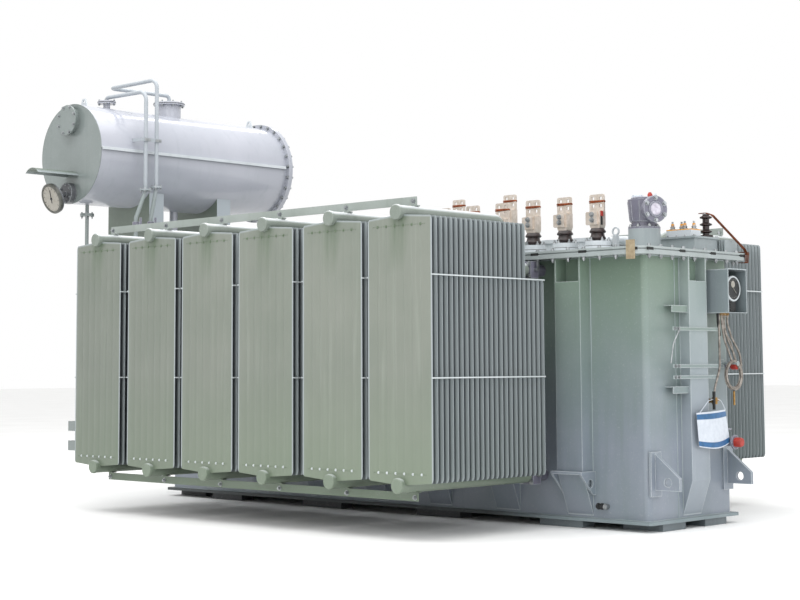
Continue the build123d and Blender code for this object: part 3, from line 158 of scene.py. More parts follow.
def add(tree, kind, inputs=None, **settings):
    """Adds a node with its settings; inputs gives each socket a value or another node's output."""
    node = tree.nodes.new(kind)
    for key, value in settings.items():
        setattr(node, key, value)
    for key, value in (inputs or {}).items():
        if isinstance(value, bpy.types.NodeSocket):
            tree.links.new(value, node.inputs[key])
        else:
            node.inputs[key].default_value = value
    return node


def new_material(name, shader):
    """Material with the given constants on its shader's own sockets."""
    material = bpy.data.materials.new(name)
    material.use_nodes = True
    body = material.node_tree.nodes["Principled BSDF"]
    for key, value in shader.items():
        body.inputs[key].default_value = value
    return material, material.node_tree, body


def cloud(tree, size_mm, detail=3.0, stretch=(1, 1, 1)):
    """Cloudy pattern whose marks are about size_mm across, and longer where stretch is under one."""
    place = add(tree, "ShaderNodeTexCoord").outputs["Object"]
    scaled = add(tree, "ShaderNodeMapping", {"Vector": place, "Scale": stretch}).outputs["Vector"]
    noise = {"Vector": scaled, "Scale": 1000 / size_mm, "Detail": detail, "Roughness": 0.55}
    return add(tree, "ShaderNodeTexNoise", noise).outputs["Fac"]


def marks(tree, size_mm, low, high, amount=1.0, **shape):
    """Mask of cloudy marks: none where the pattern is below low, amount where it is above high."""
    span = {"Value": cloud(tree, size_mm, **shape), "From Min": low, "From Max": high, "To Max": amount}
    return add(tree, "ShaderNodeMapRange", span).outputs["Result"]


def along(tree, output, axis, low, high, amount):
    """Mask that grows from none to amount as one part of a coordinate goes from low to high."""
    place = add(tree, "ShaderNodeTexCoord").outputs[output]
    part = add(tree, "ShaderNodeSeparateXYZ", {0: place}).outputs[axis]
    span = {"Value": part, "From Min": low, "From Max": high, "To Max": amount}
    return add(tree, "ShaderNodeMapRange", span).outputs["Result"]


def towards(tree, low_mm, high_mm, code, amount, axis="Z"):
    """Layer of a second tint that grows towards one end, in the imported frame's millimetres."""
    return along(tree, "Object", axis, low_mm * MM, high_mm * MM, amount), code


def face_light(tree, axis, code, amount):
    """Layer of painted light on faces that look along an axis."""
    return along(tree, "Normal", axis, 0.45, 0.9, amount), code


def edge_highlight(tree, radius_mm, amount):
    """Mask of painted highlight on the corners of plates: there a rounded normal leaves the real one."""
    bevel = add(tree, "ShaderNodeBevel", {"Radius": radius_mm * MM}, samples=4).outputs["Normal"]
    flat = add(tree, "ShaderNodeNewGeometry").outputs["Normal"]
    turn = add(tree, "ShaderNodeVectorMath", {0: bevel, 1: flat}, operation="DOT_PRODUCT").outputs["Value"]
    span = {"Value": turn, "From Min": 0.995, "From Max": 0.80, "To Max": amount}
    return add(tree, "ShaderNodeMapRange", span).outputs["Result"]


def painted(tree, attribute, amount):
    """Mask that the mesh carries as an attribute, times an amount or a pattern."""
    mark = add(tree, "ShaderNodeAttribute", attribute_name=attribute).outputs["Fac"]
    return add(tree, "ShaderNodeMath", {0: mark, 1: amount}, operation="MULTIPLY").outputs[0]


def lay(tree, tint, *layers):
    """Lays (mask, tint) layers over a tint in turn; a tint is a hex code, a colour or a socket."""
    for mask, over in layers:
        under, over = (linear(t) if isinstance(t, str) else t for t in (tint, over))
        tint = add(tree, "ShaderNodeMix", {0: mask, 6: under, 7: over}, data_type="RGBA").outputs[2]
    return tint


def surface(tree, body, tint, relief, height_mm, strength):
    """Puts the colour and the fine relief on the shader."""
    tree.links.new(tint, body.inputs["Base Color"])
    bump = {"Height": relief, "Distance": height_mm * MM, "Strength": strength}
    tree.links.new(add(tree, "ShaderNodeBump", bump).outputs["Normal"], body.inputs["Normal"])


def sprayed_enamel(
    name, base, shade, streak, rough, blotch=420, peel=3.0, coat=0.0, fade=None, face=None, edge=0.0
):
    """Air-dried machine enamel, sprayed on steel.

    Its colour drifts over about blotch mm, water leaves runs 70 mm apart, and dust sits in 9 mm
    specks. Orange peel is about 1 mm in life and drawn coarser, at peel mm, to show in the render.
    fade is a second tint by place; face is painted light on the faces that look along an
    axis, and edge is how strong the painted highlight on the corners of plates is.
    """
    gloss = {"Roughness": rough, "Coat Weight": coat, "Coat Roughness": 0.12, "IOR": 1.5}
    material, tree, body = new_material(name, gloss)
    runs = marks(tree, 70, 0.54, 0.78, 0.55, detail=5, stretch=(1, 1, 0.07))
    layers = [(marks(tree, blotch, 0.36, 0.66), base), (runs, streak)]
    # Painted light on the faces that look along an axis
    if face:
        layers.append(face_light(tree, *face))
    if fade:
        layers.append(towards(tree, *fade))
    # Painted highlight on the corners of plates
    if edge:
        layers.append((edge_highlight(tree, 9.0, edge), "#CFD6D8"))
    layers.append((marks(tree, 9, 0.60, 0.74, 0.18, detail=6), "#D5D8D2"))
    surface(tree, body, lay(tree, shade, *layers), cloud(tree, peel, detail=2), 0.12, 0.5)
    return material


def radiator_enamel(name, base, shade, stain, gap_shade, rim):
    """Enamel flow-coated over thin pressed steel, with painted green reflection low down.

    Runs are 34 mm apart and as tall as the panel, and the coat's waves are 45 mm. The panels
    carry three attributes: where water stains them, the painted shade between them, and the
    painted highlight on their seams and top edges.
    """
    material, tree, body = new_material(name, {"Roughness": 0.42, "IOR": 1.5, "Coat Weight": 0.15})
    # Painted shade on the faces between panels, darker still on the fins further to the left
    dark = lay(tree, gap_shade, towards(tree, 1620, 1300, "#3C4048", 0.8, "X"))
    tint = lay(
        tree,
        shade,
        (marks(tree, 600, 0.35, 0.68), base),
        (marks(tree, 34, 0.55, 0.85, 0.2, detail=4, stretch=(1, 1, 0.04)), "#B4BDB2"),
        # Painted green reflection low down, and painted shade that darkens the panels towards the left end
        towards(tree, 1000, 340, "#6E7D68", 0.7),
        towards(tree, 1200, -2700, "#5C635C", 0.5, "X"),
        (painted(tree, "stain", cloud(tree, 22, 4, (1, 1, 0.12))), stain),
        # Painted shade between the panels, and painted highlight on the seams and top edges
        (painted(tree, "gap", 0.85), dark),
        (painted(tree, "edge", 0.75), rim),
    )
    surface(tree, body, tint, cloud(tree, 45, 2, (1, 1, 0.4)), 0.4, 0.3)
    return material


def bare_metal(name, base, dark, rough, grain=4.0, stretch=(1, 1, 1)):
    """Bare or plated metal with dull 30 mm patches.

    The drawn or plated grain is under 0.5 mm in life, and drawn at grain mm to show in the render.
    """
    material, tree, body = new_material(name, {"Metallic": 0.85})
    lines = cloud(tree, grain, stretch=stretch)
    sheen = {"Value": lines, "To Min": rough - 0.08, "To Max": rough + 0.14}
    sheen = add(tree, "ShaderNodeMapRange", sheen).outputs["Result"]
    tree.links.new(sheen, body.inputs["Roughness"])
    surface(tree, body, lay(tree, dark, (marks(tree, 30, 0.35, 0.70, detail=5), base)), lines, 0.08, 0.5)
    return material


def moulded(name, base, dark, rough, coat=0.0, grain=6.0):
    """Moulded, printed or glazed non-metal: colour mottled over 26 mm, and a soft relief."""
    gloss = {"Roughness": rough, "Coat Weight": coat, "Coat Roughness": 0.05, "IOR": 1.5}
    material, tree, body = new_material(name, gloss)
    tint = lay(tree, dark, (marks(tree, 26, 0.35, 0.68, detail=4), base))
    surface(tree, body, tint, cloud(tree, grain), 0.1, 0.4)
    return material


def make_materials(colours):
    """Every material by its short name; the comments say what each gives the eye."""
    own = {key: tuple(getattr(colours, key)) for key in TRANSFORMER_ColourSettings.__annotations__}
    return {
        # Blue-grey wall with painted green reflection towards the rim, and painted highlight on its corners
        "tank": sprayed_enamel(
            "sprayed_enamel_tank", own["tank"], "#7C868E", "#758183", 0.34,
            fade=(500, 1640, "#70866D", 0.75), edge=0.7,
        ),
        # The same, lightened as painted light, for the stiffener that faces the lamps, with a weaker painted
        # green reflection
        "stiffener": sprayed_enamel(
            "sprayed_enamel_stiffener", "#959DA6", "#89929A", "#818C8E", 0.34,
            fade=(700, 1640, "#8A9A8C", 0.6), edge=0.7,
        ),
        # Plain grey sheet with the strongest painted highlight on its corners
        "hood": sprayed_enamel("sprayed_enamel_hood", "#788286", "#6E797B", "#697574", 0.38, edge=0.85),
        # Bottom plate and feet, with painted shade under the radiators
        "tank_low": sprayed_enamel(
            "sprayed_enamel_tank_bottom", "#828E92", "#788588", "#717F7E", 0.45,
            fade=(2000, 1500, "#34393A", 0.9, "X"),
        ),
        "shade": sprayed_enamel(
            "sprayed_enamel_base", "#6A7377", "#5D666A", "#535C5E", 0.5,
            fade=(2000, 1500, "#26282B", 0.92, "X"),
        ),
        # Pale enamel as a painted highlight: a thin line of light along each weld bead and on the thermometer
        # hood's lip
        "weld": sprayed_enamel("enamelled_weld_bead", "#99A3A6", "#8C9798", "#829090", 0.3),
        # Pale rim and cover
        "cover": sprayed_enamel("sprayed_enamel_cover", own["cover"], "#979F9E", "#86918B", 0.34),
        # The palest enamel, of fittings that were painted apart
        "seat": sprayed_enamel("sprayed_enamel_fittings", "#C9CED2", "#BEC4C8", "#AEB6B8", 0.3),
        # Mid grey of the necks on the cover
        "turret": sprayed_enamel("sprayed_enamel_turret", "#9BA3A5", "#8F989A", "#848D8D", 0.34),
        # Olive plate with painted light on the faces that look to the right
        "saddle": sprayed_enamel(
            "sprayed_enamel_saddle", "#69736A", "#5E695F", "#536054", 0.4, face=("X", "#A4ACB2", 0.95)
        ),
        # Sage panels with painted shade in the gaps, painted highlight on seams and top edges, painted green
        # reflection low down, painted shade to the left, and stains under the caps
        "radiator": radiator_enamel(
            "flow_coated_enamel_radiator", own["radiator"], "#747B71", "#566651", "#525860", "#A3ACB1"
        ),
        # Pipes with a near-white painted highlight on top and painted green shade on the low ones
        "header": sprayed_enamel(
            "sprayed_enamel_header", own["header"], "#778078", "#6C776C", 0.26,
            face=("Z", "#D9DDE0", 0.95), fade=(700, 350, "#66785C", 0.45),
        ),
        # Angle rails with a painted highlight on top and painted green shade below
        "rail": sprayed_enamel(
            "sprayed_enamel_rail", "#9DA5A1", "#8F9892", "#7C877C", 0.34,
            face=("Z", "#D4D9DB", 0.8), fade=(700, 300, "#4E6046", 0.75),
        ),
        # Pale enamel as painted highlight on the thin spacer bars across the dark gaps and the big low spot
        # welds; also the pale thermometer bezel
        "spacer": sprayed_enamel("enamelled_spacer_bar", "#C6CCCE", "#B8BFC0", "#A9B1B0", 0.3),
        # Dull green dots along the panels' tops, their darkness a painted shadow
        "spot_green": sprayed_enamel("stained_spot_weld", "#5F6F59", "#55654F", "#4C5B47", 0.5),
        # Smooth gloss that shows one long highlight
        "drum": sprayed_enamel(
            "gloss_enamel_drum", own["drum"], "#A6A9B2", "#9BA1A8", 0.16, blotch=700, coat=0.35
        ),
        # Gloss pipes that darken as they come down beside the saddle
        "pipe": sprayed_enamel(
            "gloss_enamel_pipe", "#A9AFB5", "#9DA4AA", "#929B9F", 0.22, coat=0.3,
            fade=(2520, 2380, "#78837F", 0.75),
        ),
        # Gloss end in shade
        "drum_end": sprayed_enamel("gloss_enamel_drum_end", "#7F8786", "#77807E", "#6D7774", 0.24, coat=0.3),
        # Rough cast skin under violet-grey enamel, with painted highlight on its corners
        "cast": sprayed_enamel(
            "enamelled_cast_aluminium", "#767583", "#6B6A78", "#605F6C", 0.3, peel=5.0, edge=0.5
        ),
        # Darker cast case, with painted highlight on its edges
        "casting": sprayed_enamel(
            "grey_cast_gauge_body", "#66686C", "#56585C", "#4B4D50", 0.3, peel=4.0, edge=0.7
        ),
        # Near-black glaze with small soft highlights
        "porcelain": moulded("glazed_brown_porcelain", own["porcelain"], "#170B09", 0.34, coat=0.08),
        # Warm, dull white metal
        "tinned": bare_metal("tinned_copper", "#E2D8CF", "#CBC0B4", 0.46),
        # Bright copper wire, and the strap that has gone brown
        "copper": bare_metal("bare_copper_wire", own["copper"], "#74391F", 0.38),
        "aged_copper": bare_metal("aged_copper_strap", "#84503A", "#52301F", 0.5),
        # Cool sparkle on bolt heads
        "zinc": bare_metal("zinc_plated_steel", "#B9BCBE", "#8A8E90", 0.36),
        # Warm grey hose whose wound steel breaks the light into short lines
        "armour": bare_metal("stainless_armoured_capillary", "#B2ABA3", "#736C66", 0.34, 2.5, (1, 1, 6)),
        # Yellow spots of the glands and the cock
        "brass": bare_metal("turned_brass", "#B8925A", "#8A6A3A", 0.3),
        # Dark ring round a pale dial
        "bezel": moulded("dark_gauge_bezel", "#5C5D57", "#4A4B46", 0.35),
        "dial": moulded("printed_dial_face", "#A5A29A", "#979389", 0.5),
        # Matt blacks: gaskets and hoses, and the instrument's face
        "rubber": moulded("black_nitrile_rubber", "#1B1D1C", "#101211", 0.62),
        "dark": moulded("black_phenolic", "#26292A", "#17191A", 0.4),
        # Orange cushions under the studs
        "silicone": moulded("orange_silicone_rubber", "#E8A62A", "#C98516", 0.5),
        # Pale window whose whiteness is painted glare, with a shine from its coat
        "port": moulded("hazed_port_glass", "#CFCBD6", "#A9A3B0", 0.12, coat=0.5),
        # Red plastic that draws the eye to the open stubs
        "red": moulded("red_plastic_cap", own["caps"], "#8C261C", 0.4),
        # White card with blue bands
        "card": moulded("printed_card_white", "#CDD3DB", "#C1C8D1", 0.45),
        "card_blue": moulded("printed_card_blue", own["bands"], "#27577F", 0.4),
        # Pale matt wood
        "wood": moulded("sawn_softwood", "#A89A80", "#8F8066", 0.75, grain=12.0),
    }


MATERIALS = {}


def material(name):
    """Material by its short name; all are made at the first call."""
    if not MATERIALS:
        MATERIALS.update(make_materials(bpy.context.scene.transformer_colours))
    return MATERIALS[name]


# Mesh helpers: each adds shapes to a bmesh

def frame_for(direction):
    """Rotation that turns +Z to the given direction."""
    return direction.normalized().to_track_quat("Z", "Y").to_matrix().to_4x4()


def circle(count, radius=1.0, start=0.0):
    """Pairs evenly round a circle; start is the first one's angle in degrees."""
    for i in range(count):
        a = math.radians(start + 360 * i / count)
        yield radius * math.cos(a), radius * math.sin(a)


def skin(bm, rows, loop=False):
    """Faces between neighbouring closed rows of vertices; a row of one vertex is a point."""
    for low, high in zip(rows, rows[1:] + rows[:1] if loop else rows[1:]):
        count = max(len(low), len(high))
        for i in range(count):
            k = (i + 1) % count
            corners = (low[i % len(low)], low[k % len(low)], high[k % len(high)], high[i % len(high)])
            corners = list(dict.fromkeys(corners))
            if len(corners) > 2:
                bm.faces.new(corners)


def add_prism(bm, start, direction, radius, length, sides=24, tip=None):
    """Round or many-sided bar from start along direction; tip is the radius of its far end."""
    middle = Matrix.Translation(start) @ frame_for(direction) @ Matrix.Translation(Z * length * MM / 2)
    near, far, length = radius * MM, (radius if tip is None else tip) * MM, length * MM
    bmesh.ops.create_cone(
        bm, cap_ends=True, segments=sides, radius1=near, radius2=far, depth=length, matrix=middle
    )


def add_box(bm, centre, size, turn=None):
    """Block of the given size about its centre; turn is a rotation."""
    spin = Matrix.Identity(4) if turn is None else turn.to_4x4()
    shape = Matrix.Diagonal((*(s * MM for s in size), 1))
    bmesh.ops.create_cube(bm, size=1, matrix=Matrix.Translation(centre) @ spin @ shape)


# Shares of a hexagon's size across flats
HEAD = {"corner": 0.577, "crown": 0.55, "height": 0.62, "shank": 0.32, "washer": 0.85, "washer_height": 0.14}


def add_bolt(bm, seat, direction, across=19.0, stud=0.0):
    """Hexagon head or nut on its washer; stud is how far the shank stands out of a nut."""
    size = {key: share * across for key, share in HEAD.items()}
    add_prism(bm, seat, direction, size["washer"], size["washer_height"], 20)
    base = seat + direction * size["washer_height"] * MM
    add_prism(bm, base, direction, size["corner"], size["height"], 6, tip=size["crown"])
    if stud:
        add_prism(bm, base, direction, size["shank"], size["height"] + stud, 12)


def add_turned(bm, centre, direction, profile, steps=40, loop=False):
    """Turned shape from (radius, height) pairs; a loop's last pair joins its first."""
    turn = frame_for(direction)
    rows = []
    for r, h in profile:
        ring = circle(steps, r) if r else ((0, 0),)
        rows.append([bm.verts.new(centre + turn @ Vector((u, v, h)) * MM) for u, v in ring])
    skin(bm, rows, loop)


def add_ring(bm, centre, direction, outer, inner, thickness, steps=48, ease=0.0):
    """Flat ring from centre along direction; ease rounds its outer edges."""
    outside = [(outer, 0), (outer, thickness)]
    if ease:
        outside = [(outer - ease, 0), (outer, ease), (outer, thickness - ease), (outer - ease, thickness)]
    add_turned(bm, centre, direction, [(inner, 0), *outside, (inner, thickness)], steps, loop=True)


def bent_route(points, radius, steps=8):
    """Straight runs joined by arcs of the given radius."""
    out = [points[0]]
    for before, corner, after in zip(points, points[1:], points[2:]):
        a, b = (before - corner).normalized(), (after - corner).normalized()
        half = a.angle(b) / 2
        if half > math.radians(89):
            out.append(corner)
            continue
        room = 0.49 * min((before - corner).length, (after - corner).length)
        reach = min(radius * MM / math.tan(half), room)
        centre = corner + (a + b).normalized() * (reach * math.tan(half) / math.sin(half))
        start, end = corner + a * reach - centre, corner + b * reach - centre
        axis, sweep = start.cross(end).normalized(), start.angle(end)
        out += [centre + Matrix.Rotation(sweep * i / steps, 3, axis) @ start for i in range(steps + 1)]
    return out + [points[-1]]


def add_tube(bm, points, radius, sides=16):
    """Round bar along points, with a section at each and no twist."""
    rings, side = [], None
    for i, p in enumerate(points):
        ahead = (points[min(i + 1, len(points) - 1)] - points[max(i - 1, 0)]).normalized()
        side = ahead.orthogonal() if side is None else side - ahead * side.dot(ahead)
        side.normalize()
        up = ahead.cross(side)
        rings.append([bm.verts.new(p + (side * u + up * v) * MM) for u, v in circle(sides, radius)])
    skin(bm, rings)
    bm.faces.new(rings[0][::-1])
    bm.faces.new(rings[-1])


def add_bead(bm, start, end, radius=4.0):
    """Weld bead between two points, in passes of about 30 mm."""
    count = max(4, int((end - start).length / 0.03))
    add_tube(bm, [start.lerp(end, i / count) for i in range(count + 1)], radius, 6)


def add_plate(bm, cells, thickness, place):
    """Plate across Y from flat cells of (x, z) corners; a missing cell is a hole through it."""
    part = bmesh.new()
    for cell in cells:
        part.faces.new([part.verts.new(Vector((x, -thickness / 2, z)) * MM) for x, z in cell])
    bmesh.ops.remove_doubles(part, verts=part.verts, dist=0.01 * MM)
    grown = bmesh.ops.extrude_face_region(part, geom=part.faces[:], use_keep_orig=True)["geom"]
    back = [item for item in grown if isinstance(item, bmesh.types.BMVert)]
    bmesh.ops.translate(part, verts=back, vec=Y * thickness * MM)
    bmesh.ops.translate(part, verts=part.verts, vec=place)
    mesh = bpy.data.meshes.new("plate")
    part.to_mesh(mesh)
    part.free()
    bm.from_mesh(mesh)
    bpy.data.meshes.remove(mesh)


@contextmanager
def piece(name, finish, slot, replaces=(), smooth=35.0):
    """Opens a bmesh to fill, and makes it a piece of the body; edges sharper than smooth stay sharp."""
    bm = bmesh.new()
    yield bm
    bmesh.ops.recalc_face_normals(bm, faces=bm.faces)
    mesh = bpy.data.meshes.new(name)
    bm.to_mesh(mesh)
    bm.free()
    mesh.materials.append(material(finish))
    mesh.polygons.foreach_set("use_smooth", [True] * len(mesh.polygons))
    mesh.set_sharp_from_angle(angle=math.radians(smooth))
    made = bpy.data.objects.new(name, mesh)
    bpy.context.scene.collection.objects.link(made)
    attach(made, "root")
    if replaces:
        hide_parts(*replaces)


# CAD nodes and their finishes; a node that isn't listed has the radiators' enamel

NODE_FINISH = {
    "tank": "tank_shell stiffeners_front stiffeners_back jacking_pads pull_lugs "
            "end_shelves end_bars coil_peg",
    "stiffener": "stiffeners_ends",
    "tank_low": "tank_bottom",
    "shade": "base_feet",
    "cover": "tank_rim rim_gasket tank_cover",
    "drum": "conservator_shell conservator_end_cover conservator_necks main_oil_pipe",
    "drum_end": "conservator_near_end conservator_manhole conservator_drain",
    "saddle": "conservator_saddles gauge_hood",
    "casting": "level_gauge",
    "pipe": "vent_pipes vent_bracket",
    "seat": "lv_bushing_seats hv_bushing_seats aux_terminal_box conservator_rib_and_lugs",
    "porcelain": "lv_porcelains hv_porcelains earth_bushing",
    "tinned": "lv_terminals hv_terminals",
    "turret": "tap_changer_turret terminal_turret ribbed_block",
    "cast": "tap_changer_head drain_valve radiator_valves",
    "silicone": "aux_studs",
    "hood": "thermometer_hood",
    "dark": "thermometer",
    "rail": "header_rails",
    "armour": "capillary_tube capillary_coil",
    "brass": "capillary_bulb",
}


class TRANSFORMER_OT_finishes(bpy.types.Operator):
    """Makes the materials from the colours, and gives each CAD node its own"""
    bl_idname = "transformer.finishes"
    bl_label = "CAD finishes"

    def execute(self, context):
        MATERIALS.clear()
        finishes = {node: key for key, nodes in NODE_FINISH.items() for node in nodes.split()}
        for name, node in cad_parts.items():
            node.data.materials.clear()
            node.data.materials.append(material(finishes.get(name, "radiator")))
        return {"FINISHED"}


# Tank

WALL = box_mm("tank_shell")[1]  # outside of the tank's end and side walls
CORNER = 75.0  # no rim bolt stands nearer than this to a corner
EARTH_Z = 142.0  # height of the earthing boss
STIFFENER = {"half": 100.0, "pitch": 594.0, "count": 7, "foot": 120.0}
SLOT = {"long": 62.0, "deep": 8.0, "high": 17.0, "inset": 3.5}


def around_cover(pitch, inset):
    """(x, y, out_x, out_y) round the cover's edge: a place and the way that it looks."""
    half = box_mm("tank_cover")[1]
    for side in (-1, 1):
        for run, across, along_x in ((half.x, half.y, True), (half.y, half.x, False)):
            reach, edge = run - inset - CORNER, side * (across - inset)
            count = round(2 * reach / pitch)
            for i in range(count + 1):
                shift = 2 * reach * i / count - reach
                yield (shift, edge, 0, side) if along_x else (edge, shift, side, 0)


def build_rim(settings):
    under, top = box_mm("tank_rim")[0].z, box_mm("tank_cover")[1].z
    with piece("rim_bolts", "zinc", "tank_paint") as bm:
        for x, y, _, _ in around_cover(settings.bolt_pitch / MM, settings.bolt_inset / MM):
            add_bolt(bm, at(x, y, under), -Z, 22, stud=9)
            add_bolt(bm, at(x, y, top), Z, 20)
    low, high = box_mm("rim_gasket")
    with piece("rim_gasket_gaps", "rubber", "gasket_rubber") as bm:
        for x, y, _, out_y in around_cover(settings.slot_pitch / MM, SLOT["inset"]):
            flat = (SLOT["long"], SLOT["deep"]) if out_y else (SLOT["deep"], SLOT["long"])
            add_box(bm, at(x, y, (low.z + high.z) / 2), (*flat, SLOT["high"]))


def build_tank_welds(settings):
    """Beads round the tank's foot and rim, beside each stiffener and down the joints of the plates."""
    half, foot, rim = WALL, box_mm("tank_shell")[0].z, box_mm("tank_rim")[0].z
    low = STIFFENER["foot"]
    r, clear = settings.bead / MM, 40.0
    # The beads wear the pale enamel of painted highlight
    with piece("tank_weld_beads", "weld", "tank_paint") as bm:
        for x, y in ((1868, -half.y), (-1868, half.y), (half.x, -151)):
            add_bead(bm, at(x, y, foot), at(x, y, rim), 3)
        for side in (-1, 1):
            for z in (foot, rim):
                x, y = half.x - clear, half.y - clear
                add_bead(bm, at(-x, side * half.y, z), at(x, side * half.y, z), r)
                add_bead(bm, at(side * half.x, -y, z), at(side * half.x, y, z), r)
            for edge in (-STIFFENER["half"], STIFFENER["half"]):
                for i in range(STIFFENER["count"]):
                    x = (i - (STIFFENER["count"] - 1) / 2) * STIFFENER["pitch"] + edge
                    add_bead(bm, at(x, side * half.y, low), at(x, side * half.y, rim), r)
                add_bead(bm, at(side * half.x, edge, low), at(side * half.x, edge, rim), r)


def build_end_fittings():
    """Bolts of the flat bars, the earthing boss by the near corner, and the rod on the tank end."""
    face = box_mm("end_bars")[1].x
    with piece("end_fitting_bolts", "zinc", "tank_paint") as bm:
        for z in (943, 1012, 1245):
            for y in (-272, -235):
                add_bolt(bm, at(face, y, z), X, 14)
        add_prism(bm, at(1992, -WALL.y, EARTH_Z), -Y, 17, 30)
        add_box(bm, at(1950, -WALL.y - 4, EARTH_Z), (70, 8, 36))
    with piece("earthing_pad_bolts", "dark", "tank_paint") as bm:
        for x in (1928, 1956):
            add_bolt(bm, at(x, -WALL.y - 8, EARTH_Z), -Y, 24)
    with piece("end_guide_rod", "zinc", "tank_paint") as bm:
        add_tube(bm, [at(2392, -230, 1240), at(2392, -300, 1150), at(2392, -330, 1030)], 4, 8)


class TRANSFORMER_OT_tank(bpy.types.Operator):
    """Builds the rim bolts, gasket gaps, weld beads and end fittings"""
    bl_idname = "transformer.tank"
    bl_label = "Tank details"

    def execute(self, context):
        settings = context.scene.transformer_tank
        build_rim(settings)
        build_tank_welds(settings)
        build_end_fittings()
        return {"FINISHED"}


# Radiators

PANEL = {
    "half": 261.0, "face": 1812.5, "low": 344.0, "high": 1900.0, "short": 1557.0,
    "gable": 20.0, "seam": 14.0, "swell": 62.0, "channel": 26.0, "stain": 330.0, "stain_half": 90.0,
}
CAP_PROFILE = [(0, 0), (41, 0), (46, 4), (47, 9), (47, 22), (44, 25)]
CAP_RADIUS = 47.0
RADIATOR_LOW, RADIATOR_HIGH = box_mm("radiator_back_1")
HEADER = {
    "r": 44.0, "high": RADIATOR_HIGH.z - CAP_RADIUS, "low": RADIATOR_LOW.z + CAP_RADIUS, "neck": 1634.0,
    "cap": RADIATOR_HIGH.y, "end": RADIATOR_HIGH.y - 9, "in": RADIATOR_LOW.y,
}
SPACER = {"levels": (952.0, 1554.0), "out": 264.0, "middle": 1289.0, "size": (7, 1047, 8)}
SPOT = {
    "high": 1853.0, "low": 393.0,
    "big": [(8.5, 0), (7, 4), (0, 5.5)], "small": [(2.6, 0), (2, 3), (0, 3.5)],
}
SMALL_SPOTS, SMALL_PITCH = 31, 14.0
ROWS = (("front", -1), ("back", 1))


def panel_section(settings):
    """(x, thickness) pairs across a pressed panel: seams, swollen channels and grooves."""
    half, pitch = PANEL["half"], settings.channel_pitch / MM
    seam, groove, full = (value / MM for value in (settings.seam, settings.groove, settings.thickness))
    out = [(x - half, seam) for x in (0, 5, 13)]
    for i in range(settings.channels):
        middle = (i - (settings.channels - 1) / 2) * pitch
        out += [(middle - PANEL["channel"], full), (middle + PANEL["channel"], full)]
        if i < settings.channels - 1:
            out.append((middle + pitch / 2, groove))
    return out + [(half - x, seam) for x in (13, 5, 0)]


def corner_drop(x):
    """How far the rounded corner falls below the panel's edge at x."""
    from_side = PANEL["half"] - abs(x)
    return 22.0 if from_side < 1 else 8.0 if from_side < 6 else 0.0


def add_panel(bm, settings, number, centre, side):
    """One panel, numbered from the outer face; its attributes mark stain, painted shade and painted
    highlight.
    """
    stain, gap, edge = (bm.verts.layers.float[name] for name in ("stain", "gap", "edge"))
    short = number >= settings.panels - settings.short_panels
    low, high, half = PANEL["low"], PANEL["short" if short else "high"], PANEL["half"]
    full, seam = settings.thickness / MM, settings.seam / MM
    middle = PANEL["face"] - full / 2 - number * settings.pitch / MM
    peak, top_peak = PANEL["gable"], 0 if short else PANEL["gable"]
    levels = (  # edge to measure from, way out of it, rise of the gable, distance in, swollen or not
        (low, -1, peak, 0, False),
        (low, -1, peak, PANEL["seam"], False),
        (low, -1, 0, PANEL["swell"], True),
        ((low + high) / 2, 1, 0, 0, True),
        (high - PANEL["stain"], 1, 0, 0, True),
        (high, 1, 0, PANEL["swell"], True),
        (high, 1, top_peak, PANEL["seam"], False),
        (high, 1, top_peak, 0, False),
    )
    loops = []
    for level, (start, way, rise, inset, swollen) in enumerate(levels):
        faces = {1: [], -1: []}
        for x, thickness in panel_section(settings):
            z = start + way * (rise * (1 - abs(x) / half) - corner_drop(x) - inset)
            for face, line in faces.items():
                y = middle + face * (thickness if swollen else seam) / 2
                vert = bm.verts.new(at(centre + x, side * y, z))
                outside = number == 0 and face == 1
                # Seams and the top row take the painted highlight, other faces the painted shade between
                # panels
                rim = abs(x) > half - (6 if outside else PANEL["seam"]) or level == len(levels) - 1
                if outside:
                    near = max(0, 1 - abs(x) / PANEL["stain_half"])
                    vert[stain] = 2 * near * max(0, 1 - (high - z) / PANEL["stain"])
                vert[gap] = 0 if outside or rim else 1
                vert[edge] = 1 if rim else 0
                line.append(vert)
        loops.append(faces[1] + faces[-1][::-1])
    skin(bm, loops)
    for loop in (loops[0], loops[-1]):
        for j in range(len(loop) // 2 - 1):
            bm.faces.new((loop[j], loop[-1 - j], loop[-2 - j], loop[j + 1]))


def radiator_centre(node):
    low, high = box_mm(node)
    return (low.x + high.x) / 2


